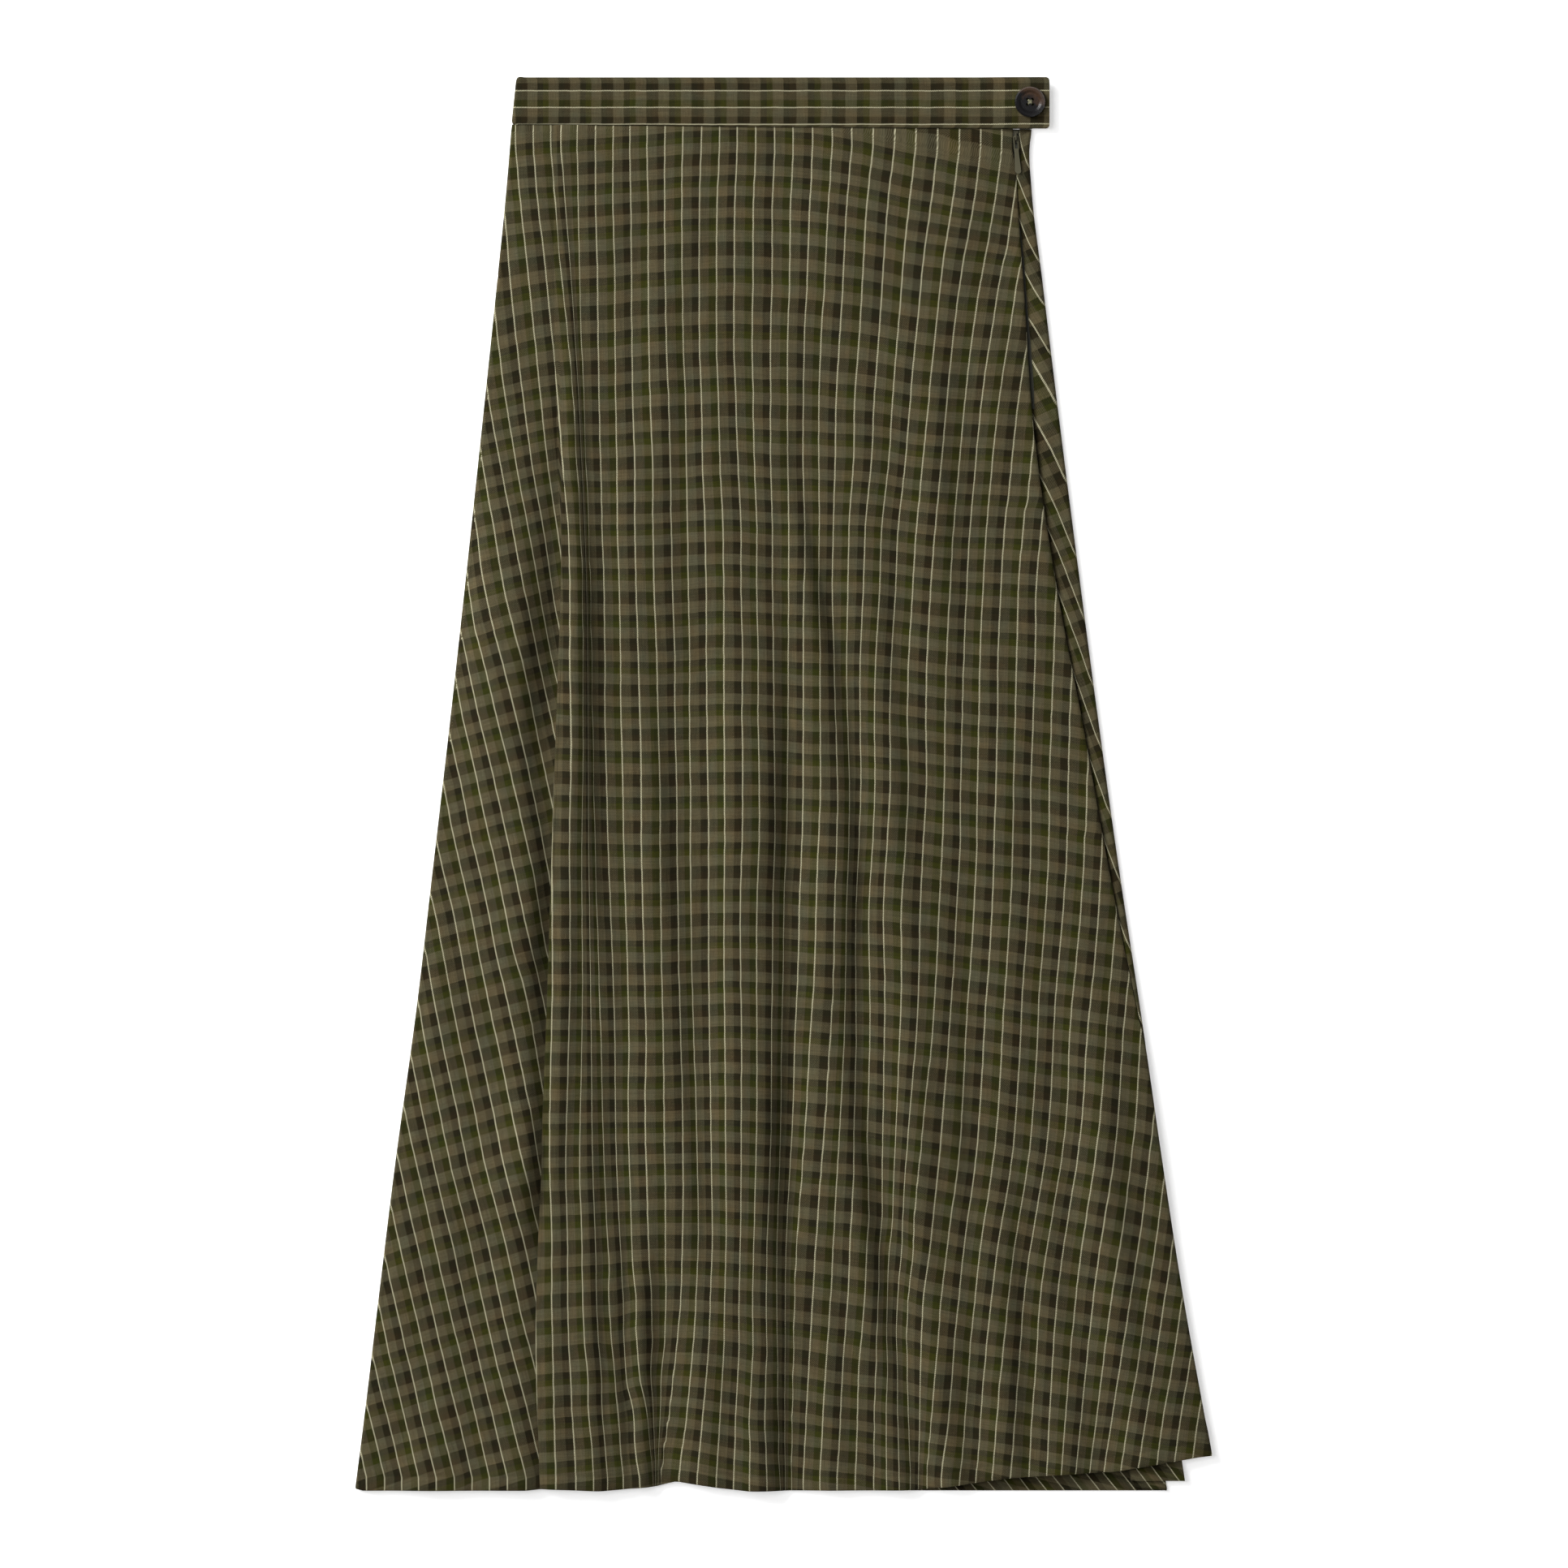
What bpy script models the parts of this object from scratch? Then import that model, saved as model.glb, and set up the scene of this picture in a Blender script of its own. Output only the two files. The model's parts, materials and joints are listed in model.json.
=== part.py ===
"""A midi skirt laid flat on its back: two cloth panels, a waistband, a button and a side zip.

Metres, +Z up. The skirt lies on the plane z = 0 with its waist towards +Y, and the origin is
the middle of the ground that it covers. The sizes below are in millimetres. A "drop" is the
distance down the skirt from the top edge of its waistband. A "section" is the skirt cut across
at one drop: the middle line of its cloth, from the left side seam up over the front, round the
right edge and along the back to the left side seam again.
"""

import math
from typing import NamedTuple

import bmesh
import bpy
import numpy as np

MM = 0.001

# The whole skirt
LENGTH = 836.0
GROUND_TOP = LENGTH / 2
WALL = 1.3
SEAM_GAP = 0.3
TURNING_GAP = 0.4
TURNING_SPAN = 4.0
FRONT_LAY = 3.4
LEFT_UNDER = 12.0

# Folds of the cloth over itself
INNER_BEND = 0.9
RIDGE_BEND = 1.6
RIDGE_SLOPE = 27.0
HIDDEN_CLEARANCE = 3.0
CREST_IN = 7.0
CREST_HALF_WIDTH = 8.0
CREST_START = 6.0
TUCK_SLOPE = 25.0
TUCK_CLEARANCE = 5.0
TUCK_EDGE_THINNING = 0.07
TOP_RIDGE_DROP = 150.0

# Waistband
BAND_WALL = 2.0
BAND_LEFT_HEIGHT = 27.8
BAND_RIGHT_HEIGHT = 30.7
BAND_LEFT_TOP = -158.4
BAND_LEFT_BOTTOM = -161.3
BAND_RIGHT = 147.4
BAND_BACK_END = 140.5
TAB_END = 157.0
TAB_STEP = 2.5
TAB_RAMP_START = 117.0
TAB_RAMP_END = 135.5
BAND_EDGE_ROUND = 0.7
BAND_EDGE_THINNING = 0.65
BAND_BEND_STEPS = 7
BAND_FRONT_STEPS = 4

# Button
BUTTON_X = 145.4
BUTTON_DROP = 14.9
BUTTON_RADIUS = 9.1
BUTTON_THICKNESS = 3.2
BUTTON_DISH = 1.1
BUTTON_RIM = 2.2
BUTTON_HOLE_RADIUS = 0.9
BUTTON_HOLE_RING = 2.1
BUTTON_HOLES = 4
BUTTON_SIDES = 32

# Side zip
ZIP_LENGTH = 165.0
TAPE_HALF_WIDTH = 4.5
TAPE_WALL = 0.5
TAPE_ROWS = 13
TAPE_COLUMNS = 4
SLIDER_DROP = 35.2
SLIDER_WIDTH = 3.0
SLIDER_LENGTH = 7.0
SLIDER_SUNK = 0.05
SLIDER_OPENING = 3.8
SLIDER_OPENING_END = 42.0
SLIDER_OPENING_FADE = 12.0
BRIDGE_WIDTH = 0.8
BRIDGE_LENGTH = 4.4
BRIDGE_HEIGHT = 2.3
BRIDGE_HOLE_LENGTH = 2.6
BRIDGE_HOLE_HEIGHT = 1.6
BRIDGE_ROOT = 0.4
BRIDGE_ROUND = 0.2
PULL_LENGTH = 22.0
PULL_THICKNESS = 0.8
PULL_BAR = 0.8
PULL_EYE_LENGTH = 7.0
PULL_EYE_HALF_WIDTH = 0.8
PULL_NECK_HALF_WIDTH = 1.6
PULL_DROP_HALF_WIDTH = 1.85
PULL_LEAN = 0.08
PULL_LEAN_START = 3.5
PULL_ROUND = 0.18

# Grids of points on the panels: rows down the skirt, and columns along each stretch of a section
ROW_STOPS = (BAND_LEFT_HEIGHT, 45.0, 60.0, 530.0, 640.0, LENGTH)
ROWS_BETWEEN_STOPS = (3, 2, 15, 9, 8)
EDGE_SPAN = 120.0
FRONT_COLUMNS = {"left": 9, "fold": 9, "middle": 19, "right": 9}
BACK_COLUMNS = {"right": 15, "floor": 4}
CORNER_COLUMNS = 4
CORNER_FADE_COLUMNS = 7
RIGHT_STRETCH = 30.0
BEND_PER_COLUMN = math.radians(34)
LENGTH_PER_COLUMN = 12.0
FINE_STEPS = 60
FINE_ROWS = 160


class Outline(NamedTuple):
    """The laid skirt's edges at a drop, and how far the back panel comes over the right edge."""

    drop: float
    left: float
    right: float
    over: float


class Fold(NamedTuple):
    """A fold of the cloth over itself: the place of its visible edge, how far it turns over,
    how far it runs back, and how high a ridge stands beside it."""

    drop: float
    edge: float
    turn: float
    run: float
    crest: float


class Ridge(NamedTuple):
    """A soft fold down the front: its centre at four drops, its half width and its height."""

    at_waist: float
    at_middle: float
    at_calf: float
    at_hem: float
    half_width: float
    height: float
    starts: float


class HemPoint(NamedTuple):
    """How far the front hem is lifted above the skirt's lowest edge, at a place across it."""

    across: float
    lift: float


OUTLINE = (
    Outline(28.0, -161.2, 147.3, 9.8),
    Outline(40.0, -162.1, 145.4, 8.4),
    Outline(65.0, -164.2, 146.4, 8.6),
    Outline(122.0, -169.9, 153.1, 11.4),
    Outline(209.0, -179.0, 163.7, 15.9),
    Outline(295.0, -188.2, 174.7, 14.6),
    Outline(382.0, -197.8, 186.2, 9.6),
    Outline(468.0, -207.8, 198.2, 6.2),
    Outline(554.0, -217.9, 211.2, 1.9),
    Outline(641.0, -229.9, 223.7, -4.0),
    Outline(727.0, -240.5, 237.1, -12.0),
    Outline(800.0, -249.3, 250.3, -16.2),
    Outline(836.0, -253.9, 256.8, -17.4),
)

# The deep fold that falls down the left of the front
FRONT_FOLD = (
    Fold(28.0, -132.5, 14.0, 5.0, 0.0),
    Fold(190.0, -133.4, 22.0, 4.5, 0.3),
    Fold(240.0, -135.8, 52.0, 3.2, 1.0),
    Fold(300.0, -135.4, 120.0, 2.6, 2.4),
    Fold(360.0, -135.0, 172.0, 4.5, 3.6),
    Fold(434.0, -136.3, 180.0, 9.0, 4.4),
    Fold(545.0, -140.2, 180.0, 15.0, 4.0),
    Fold(675.0, -145.0, 180.0, 20.0, 2.6),
    Fold(750.0, -146.9, 180.0, 23.0, 1.8),
    Fold(836.0, -144.0, 180.0, 25.0, 1.2),
)

# The back panel's fold under the right edge: its edge is counted in from the skirt's right edge
BACK_TUCK = (
    Fold(28.0, 27.0, 0.0, 0.0, 0.0),
    Fold(480.0, 27.0, 0.0, 0.0, 0.0),
    Fold(560.0, 27.0, 60.0, 1.5, 0.0),
    Fold(620.0, 27.0, 130.0, 2.0, 0.0),
    Fold(680.0, 27.0, 180.0, 5.0, 0.0),
    Fold(836.0, 30.0, 180.0, 18.0, 0.0),
)

RIDGE_DROPS = (242.0, 434.0, 626.0, 818.0)
RIDGES = (
    Ridge(-173.5, -180.5, -191.0, -203.0, 13.0, 2.2, 120.0),
    Ridge(-93.5, -84.0, -79.7, -82.0, 9.0, 2.6, 180.0),
    Ridge(-35.0, -29.3, -31.7, -46.0, 12.0, 4.2, 150.0),
    Ridge(9.1, 20.2, 22.1, 28.0, 9.0, 3.4, 160.0),
    Ridge(35.5, 64.3, 76.3, 97.0, 11.0, 4.0, 180.0),
    Ridge(112.3, 128.0, 146.0, 160.0, 15.0, 2.0, 240.0),
)
RIDGE_GROWTH = 320.0

FRONT_HEM = (
    HemPoint(-253.0, 1.0),
    HemPoint(-249.0, 0.0),
    HemPoint(-152.0, 0.3),
    HemPoint(-143.0, 1.2),
    HemPoint(-108.0, 0.0),
    HemPoint(-76.0, 2.6),
    HemPoint(-63.4, 5.6),
    HemPoint(-51.4, 3.8),
    HemPoint(-38.0, 1.8),
    HemPoint(-20.0, 0.0),
    HemPoint(75.0, 0.4),
    HemPoint(97.0, 2.4),
    HemPoint(133.0, 7.5),
    HemPoint(198.0, 11.5),
    HemPoint(235.0, 17.6),
    HemPoint(253.0, 20.6),
)
BACK_HEM_CORNER_LIFT = 5.8

# Colours (linear) and roughness
CHECK_CLOTH = (0.062, 0.058, 0.034)
BAND_CLOTH = (0.070, 0.064, 0.038)
TAPE_CLOTH = (0.030, 0.030, 0.018)
HORN_BROWN = (0.020, 0.012, 0.008)
DARK_BRASS = (0.16, 0.14, 0.07)
OLIVE_METAL = (0.17, 0.16, 0.09)


def read(table, column, drop):
    """Reads a table's column at a drop, along a smooth curve through its rows."""
    rows = np.array([row.drop for row in table])
    values = np.array([getattr(row, column) for row in table])
    slopes = np.gradient(values, rows)
    drop = min(max(drop, rows[0]), rows[-1])
    i = min(max(int(np.searchsorted(rows, drop)) - 1, 0), len(rows) - 2)
    width = rows[i + 1] - rows[i]
    t = (drop - rows[i]) / width
    ends = values[i] * (1 + 2 * t) * (1 - t) ** 2 + values[i + 1] * t**2 * (3 - 2 * t)
    return ends + width * (slopes[i] * t * (1 - t) ** 2 - slopes[i + 1] * t**2 * (1 - t))


def ease(t):
    """Goes smoothly from 0 to 1 as t does, and stays there outside."""
    t = np.clip(t, 0.0, 1.0)
    return t * t * (3 - 2 * t)


def fold_turn(table, drop):
    """How far a fold has turned over at a drop, in radians: half a turn where it lies flat."""
    return math.radians(min(max(read(table, "turn", drop), 0.0), 180.0))


def s_bend(turn, run, first_bend, last_bend):
    """Offsets along an S: bent up by an angle, straight for a run, and bent down again."""
    up = np.linspace(0.0, turn, FINE_STEPS)
    down = up[::-1]
    x = first_bend * np.sin(up)
    z = first_bend * (1 - np.cos(up))
    x_last = x[-1] + run * math.cos(turn) + last_bend * (math.sin(turn) - np.sin(down))
    z_last = z[-1] + run * math.sin(turn) + last_bend * (np.cos(down) - math.cos(turn))
    return np.append(x, x_last), np.append(z, z_last)


def s_bend_reach(turn, run, first_bend, last_bend):
    """How far the visible edge of an S lies beyond its start."""
    past_upright = last_bend * (math.sin(turn) - 1) if turn > math.pi / 2 else 0.0
    return first_bend * math.sin(turn) + run * math.cos(turn) + past_upright


def soft_ridges(x, drop):
    """Height that the soft folds add to the front at a place."""
    total = np.zeros_like(x)
    for ridge in RIDGES:
        centre = np.polyval(np.polyfit(RIDGE_DROPS, ridge[:4], 3), max(drop, TOP_RIDGE_DROP))
        grown = ease((drop - ridge.starts) / RIDGE_GROWTH)
        total += grown * ridge.height * np.exp(-(((x - centre) / ridge.half_width) ** 2))
    return total


class Lay:
    """The places where the folds and edges lie at one drop."""

    def __init__(self, drop):
        self.drop = drop
        self.floor = WALL / 2
        self.left = read(OUTLINE, "left", drop) + WALL / 2
        self.right = read(OUTLINE, "right", drop) - WALL / 2
        self.over = read(OUTLINE, "over", drop) - WALL / 2
        self.seam = self.right - self.over
        self.left_bend = (FRONT_LAY - self.floor) / 2

        fold = (fold_turn(FRONT_FOLD, drop), max(read(FRONT_FOLD, "run", drop), 0.0))
        self.fold_x, self.fold_z = s_bend(*fold, INNER_BEND, RIDGE_BEND)
        reach = s_bend_reach(*fold, INNER_BEND, RIDGE_BEND)
        self.fold_start = read(FRONT_FOLD, "edge", drop) + WALL / 2 - reach
        self.fold_end = self.fold_start + self.fold_x[-1]
        self.fold_rise = self.fold_z[-1]
        self.crest = read(FRONT_FOLD, "crest", drop)

        tuck = (fold_turn(BACK_TUCK, drop), max(read(BACK_TUCK, "run", drop), 0.0))
        self.tuck_x, self.tuck_z = s_bend(*tuck, INNER_BEND, INNER_BEND)
        tuck_edge = self.right - read(BACK_TUCK, "edge", drop)
        self.tuck_start = tuck_edge + s_bend_reach(*tuck, INNER_BEND, INNER_BEND)
        self.tuck_rise = self.tuck_z[-1]
        self.under = self.floor + self.tuck_rise
        self.right_bend = self.left_bend - TUCK_EDGE_THINNING * self.tuck_rise
        self.right_centre = self.right - self.right_bend

    def front_height(self, x):
        """Height of the front's cloth right of the deep fold, at places across it."""
        x = np.asarray(x, float)
        held = self.fold_start + INNER_BEND + HIDDEN_CLEARANCE
        hold = 1 - ease((x - held) / RIDGE_SLOPE)
        from_crest = (x - self.fold_end - CREST_IN) / CREST_HALF_WIDTH
        crest = self.crest * np.exp(-(from_crest**2)) * ease((x - self.fold_end) / CREST_START)
        ends = soft_ridges(np.array([self.fold_start, self.fold_end]), self.drop)
        height = FRONT_LAY + soft_ridges(x, self.drop) + crest
        height = height + (self.fold_rise + ends[0] - ends[1]) * hold
        at_edge = FRONT_LAY + soft_ridges(np.array([self.right_centre]), self.drop)[0]
        lift = self.under + 2 * self.right_bend - at_edge
        return height + lift * ease((x - self.tuck_start + TUCK_SLOPE + TUCK_CLEARANCE) / TUCK_SLOPE)

    def section(self):
        """The middle line of the cloth, all round, and the points where its stretches meet."""
        half_turn = np.linspace(0.0, math.pi, FINE_STEPS)
        left_centre = self.left + self.left_bend
        start = self.left + LEFT_UNDER
        top_left = np.linspace(left_centre, self.fold_start, FINE_STEPS)
        top_right = np.linspace(self.fold_end, self.right_centre, 6 * FINE_STEPS)
        stretches = {
            "left under": ([start, left_centre], [self.floor, self.floor]),
            "left edge": (
                left_centre - self.left_bend * np.sin(half_turn),
                self.floor + self.left_bend * (1 - np.cos(half_turn)),
            ),
            "top left": (top_left, FRONT_LAY + soft_ridges(top_left, self.drop)),
            "deep fold": (
                self.fold_start + self.fold_x,
                FRONT_LAY + soft_ridges(top_left[-1:], self.drop)[0] + self.fold_z,
            ),
            "top right": (top_right, self.front_height(top_right)),
            "right edge": (
                self.right_centre + self.right_bend * np.sin(half_turn),
                self.under + self.right_bend * (1 + np.cos(half_turn)),
            ),
            "right under": (
                [self.right_centre, self.tuck_start],
                [self.under, self.under],
            ),
            "tuck": (self.tuck_start - self.tuck_x, self.under - self.tuck_z),
            "floor": (
                [self.tuck_start - self.tuck_x[-1], start],
                [self.floor, self.floor],
            ),
        }
        x = np.concatenate([np.asarray(stretch[0], float) for stretch in stretches.values()])
        z = np.concatenate([np.asarray(stretch[1], float) for stretch in stretches.values()])
        along = np.append(0.0, np.cumsum(np.hypot(np.diff(x), np.diff(z))))
        ends, count = {}, 0
        for name, stretch in stretches.items():
            count += len(stretch[0])
            ends[name] = along[count - 1]
        return Section(x, z, along, ends, self)


class Section:
    """A drop's middle line, with the distances along it at which its stretches end."""

    def __init__(self, x, z, along, ends, lay):
        kept = np.append(True, np.diff(along) > 1e-7)
        self.x, self.z, self.along = x[kept], z[kept], along[kept]
        self.ends = ends
        edge = (ends["top right"] + ends["right edge"]) / 2
        self.seam = edge - math.copysign(self.from_edge(lay), lay.over)

    def from_edge(self, lay):
        """Distance along the cloth from the right edge to the seam."""
        quarter = lay.right_bend * math.pi / 2
        across = abs(lay.over)
        if across > lay.right_bend:
            return quarter + across - lay.right_bend
        return quarter * across / lay.right_bend

    def points(self, start, end, count, even=False):
        """Takes points along the line from one distance to another, closer where it bends."""
        inside = (self.along > start) & (self.along < end)
        along = np.concatenate([[start], self.along[inside], [end]])
        x = np.interp(along, self.along, self.x)
        z = np.interp(along, self.along, self.z)
        length = np.diff(along)
        heading = np.unwrap(np.arctan2(np.diff(z), np.diff(x)))
        bend = np.append(0.0, np.abs(np.diff(heading)))
        weight = length if even else length / LENGTH_PER_COLUMN + bend / BEND_PER_COLUMN
        total = np.append(0.0, np.cumsum(weight))
        at = np.linspace(0.0, total[-1], count + 1)
        return np.interp(at, total, x), np.interp(at, total, z)


def joined(stretches):
    """Joins stretches of points that share their end points."""
    x = [stretches[0][0]] + [stretch[0][1:] for stretch in stretches[1:]]
    z = [stretches[0][1]] + [stretch[1][1:] for stretch in stretches[1:]]
    return np.concatenate(x), np.concatenate(z)


def seam_half_gap(lay):
    """Half the gap along the right seam, which opens at its top round the zip's slider, and a
    little where the seam turns under the right edge."""
    opened = 1 - ease((lay.drop - SLIDER_OPENING_END) / SLIDER_OPENING_FADE)
    turning = math.exp(-((lay.over / TURNING_SPAN) ** 2))
    return SEAM_GAP / 2 + opened * (SLIDER_OPENING - SEAM_GAP) / 2 + turning * TURNING_GAP / 2


def front_points(lay):
    """The front panel's points across one section."""
    section = lay.section()
    ends = section.ends
    seam = section.seam - seam_half_gap(lay)
    middle_end = min(ends["top right"] - RIGHT_STRETCH, seam - RIGHT_STRETCH / 3)
    columns = FRONT_COLUMNS
    return joined(
        [
            section.points(SEAM_GAP / 2, ends["top left"], columns["left"]),
            section.points(ends["top left"], ends["deep fold"], columns["fold"]),
            section.points(ends["deep fold"], middle_end, columns["middle"], even=True),
            section.points(middle_end, seam, columns["right"]),
        ]
    )


def back_points(lay):
    """The back panel's points across one section."""
    section = lay.section()
    ends = section.ends
    seam = section.seam + seam_half_gap(lay)
    columns = BACK_COLUMNS
    return joined(
        [
            section.points(seam, ends["tuck"], columns["right"]),
            section.points(ends["tuck"], ends["floor"] - SEAM_GAP / 2, columns["floor"], even=True),
        ]
    )


def band_height(x):
    """The waistband's height at a place across it."""
    share = np.clip((x - BAND_LEFT_BOTTOM) / (TAB_END - BAND_LEFT_BOTTOM), 0.0, 1.0)
    return BAND_LEFT_HEIGHT + share * (BAND_RIGHT_HEIGHT - BAND_LEFT_HEIGHT)


def front_hem(x):
    """How far each of the front's columns is lifted at the hem."""
    across = [point.across for point in FRONT_HEM]
    return np.interp(x, across, [point.lift for point in FRONT_HEM])


def back_hem(x):
    """How far each of the back's columns is lifted at the hem: only its corner, by the seam."""
    from_corner = np.arange(len(x)) - CORNER_COLUMNS
    return BACK_HEM_CORNER_LIFT * (1 - ease(from_corner / CORNER_FADE_COLUMNS))


def row_drops():
    """The drops of a panel's rows, closer together by the slider and where the seam turns under."""
    drops = [BAND_LEFT_HEIGHT]
    for start, end, count in zip(ROW_STOPS, ROW_STOPS[1:], ROWS_BETWEEN_STOPS):
        drops.extend(np.linspace(start, end, count + 1)[1:])
    return np.array(drops)


def panel_grid(points_of, hem_lift):
    """A panel's middle surface: rows of points from its top edge to its hem."""
    top = BAND_LEFT_HEIGHT
    drops = np.linspace(top, LENGTH, FINE_ROWS)
    lines = [points_of(Lay(drop)) for drop in drops]
    x = np.array([line[0] for line in lines])
    z = np.array([line[1] for line in lines])

    rows = row_drops()[:, None]
    starts = band_height(x[0]) + SEAM_GAP
    lift = hem_lift(x[-1])
    wanted = rows + (starts - top) * (1 - ease((rows - top) / EDGE_SPAN))
    wanted = wanted - lift * ease((rows - LENGTH + EDGE_SPAN) / EDGE_SPAN)

    grid = np.empty((len(rows), x.shape[1], 3))
    for column in range(x.shape[1]):
        grid[:, column, 0] = np.interp(wanted[:, column], drops, x[:, column])
        grid[:, column, 1] = GROUND_TOP - wanted[:, column]
        grid[:, column, 2] = np.interp(wanted[:, column], drops, z[:, column])
    return grid


def outward(grid):
    """The outward directions of a grid whose rows go down the skirt and round it clockwise."""
    down = np.gradient(grid, axis=0)
    round_it = np.gradient(grid, axis=1)
    normal = np.cross(down, round_it)
    return normal / np.linalg.norm(normal, axis=2, keepdims=True)


def walled(grid, half_wall):
    """Vertices and faces of a closed wall of cloth on both sides of a grid of points."""
    rows, columns = grid.shape[:2]
    offset = outward(grid) * half_wall
    vertices = np.concatenate([(grid + offset).reshape(-1, 3), (grid - offset).reshape(-1, 3)])
    inner = rows * columns

    def at(row, column):
        return row * columns + column

    faces = []
    for row in range(rows - 1):
        for column in range(columns - 1):
            a, b = at(row, column), at(row + 1, column)
            faces.append((a, b, b + 1, a + 1))
            faces.append((inner + a + 1, inner + b + 1, inner + b, inner + a))
    rim = [at(row, 0) for row in range(rows)]
    rim += [at(rows - 1, column) for column in range(1, columns)]
    rim += [at(row, columns - 1) for row in range(rows - 2, -1, -1)]
    rim += [at(0, column) for column in range(columns - 2, 0, -1)]
    for a, b in zip(rim, rim[1:] + rim[:1]):
        faces.append((b, a, inner + a, inner + b))
    vertices[np.abs(vertices[:, 2]) < 1e-6, 2] = 0.0
    return vertices, faces


def make_material(name, colour, roughness, metallic=0.0):
    """A Principled material of one colour."""
    material = bpy.data.materials.new(name)
    material.use_nodes = True
    shader = material.node_tree.nodes["Principled BSDF"]
    shader.inputs["Base Color"].default_value = (*colour, 1.0)
    shader.inputs["Roughness"].default_value = roughness
    shader.inputs["Metallic"].default_value = metallic
    return material


def add_object(name, vertices, faces, material, place=(0.0, 0.0, 0.0)):
    """Adds a mesh object from vertices in millimetres, standing at a place in millimetres."""
    mesh = bpy.data.meshes.new(name)
    origin = np.array(place)
    mesh.from_pydata([tuple((np.array(v) - origin) * MM) for v in vertices], [], faces)
    mesh.materials.append(material)
    mesh.update()
    mesh.shade_smooth()
    mesh.set_sharp_from_angle(angle=math.radians(40))
    obj = bpy.data.objects.new(name, mesh)
    obj.location = tuple(origin * MM)
    bpy.context.scene.collection.objects.link(obj)
    return obj


def add_bevel(obj, width, segments):
    """Rounds an object's sharp edges."""
    bevel = obj.modifiers.new("Round edges", "BEVEL")
    bevel.width = width * MM
    bevel.segments = segments
    bevel.limit_method = "ANGLE"


def band_line(drop_share):
    """The middle line of the waistband across one row: round the body, then out along its tab."""
    half = BAND_WALL / 2
    bend = (FRONT_LAY - half) / 2
    left = BAND_LEFT_TOP + drop_share * (BAND_LEFT_BOTTOM - BAND_LEFT_TOP) + half + bend
    right = BAND_RIGHT - half - bend
    turn = np.linspace(0.0, math.pi, BAND_BEND_STEPS)
    ramp = np.linspace(0.0, 1.0, BAND_BEND_STEPS)
    rounded = BAND_EDGE_ROUND if drop_share in (0.0, 1.0) else 0.0
    x = [[BAND_BACK_END]]
    z = [[FRONT_LAY]]
    x.append(right + bend * np.sin(turn))
    z.append(half + bend * (1 + np.cos(turn)))
    x.append([0.0])
    z.append([half])
    x.append(left - bend * np.sin(turn))
    z.append(half + bend * (1 - np.cos(turn)))
    x.append(np.linspace(left, TAB_RAMP_START, BAND_FRONT_STEPS + 1)[1:-1])
    z.append(np.full(BAND_FRONT_STEPS - 1, FRONT_LAY))
    x.append(TAB_RAMP_START + ramp * (TAB_RAMP_END - TAB_RAMP_START))
    z.append(FRONT_LAY + ease(ramp) * TAB_STEP)
    x.append([TAB_END - rounded])
    z.append([FRONT_LAY + TAB_STEP])
    return np.concatenate(x), np.concatenate(z)


def make_waistband(material):
    """The waistband: one strip folded round the waist, with a tab that laps over the zip."""
    edge = BAND_EDGE_ROUND / BAND_RIGHT_HEIGHT
    rows, half_walls = [], []
    for share in (0.0, edge, 1 - edge, 1.0):
        x, z = band_line(share)
        thinning = BAND_EDGE_THINNING if share in (0.0, 1.0) else 1.0
        rows.append(np.stack([x, GROUND_TOP - share * band_height(x), z], axis=1))
        half_walls.append(np.full((len(x), 1), thinning * BAND_WALL / 2))
    vertices, faces = walled(np.array(rows), np.array(half_walls))
    vertices[:, 2] = np.maximum(vertices[:, 2], 0.0)
    return add_object("waistband", vertices, faces, material)


def make_panel(name, points_of, hem_lift, material):
    """One of the skirt's two cloth panels."""
    vertices, faces = walled(panel_grid(points_of, hem_lift), WALL / 2)
    return add_object(name, vertices, faces, material)


def make_zip_tape(material):
    """The zip's tape, just under the cloth on both sides of the right seam."""
    across = np.linspace(-TAPE_HALF_WIDTH, TAPE_HALF_WIDTH, TAPE_COLUMNS)
    under_cloth = WALL / 2 + SEAM_GAP + TAPE_WALL / 2
    rows = []
    start = BAND_RIGHT_HEIGHT + SEAM_GAP
    for drop in np.linspace(start, start + ZIP_LENGTH, TAPE_ROWS):
        lay = Lay(drop)
        x = lay.seam + across
        z = lay.front_height(x) - under_cloth
        rows.append(np.stack([x, np.full(TAPE_COLUMNS, GROUND_TOP - drop), z], axis=1))
    vertices, faces = walled(np.array(rows), TAPE_WALL / 2)
    return add_object("zip_tape", vertices, faces, material)


def hinge_place():
    """Where the zip's pull turns in the slider's bridge."""
    lay = Lay(SLIDER_DROP)
    cloth = float(lay.front_height(lay.seam))
    base_top = cloth + WALL / 2 - SLIDER_SUNK
    return lay.seam, GROUND_TOP - SLIDER_DROP, base_top + BRIDGE_HOLE_HEIGHT / 2


def block(x_size, low, high):
    """Vertices and faces of a block, centred across X, from its YZ corners."""
    x = x_size / 2
    corners = [(-x, low, high), (x, low, high)]
    vertices = [
        (side, y, z)
        for side, (y_low, z_low), (y_high, z_high) in corners
        for y, z in ((y_low, z_low), (y_high, z_low), (y_high, z_high), (y_low, z_high))
    ]
    faces = [(0, 3, 2, 1), (4, 5, 6, 7)]
    faces += [(i, (i + 1) % 4, 4 + (i + 1) % 4, 4 + i) for i in range(4)]
    return vertices, faces


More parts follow.
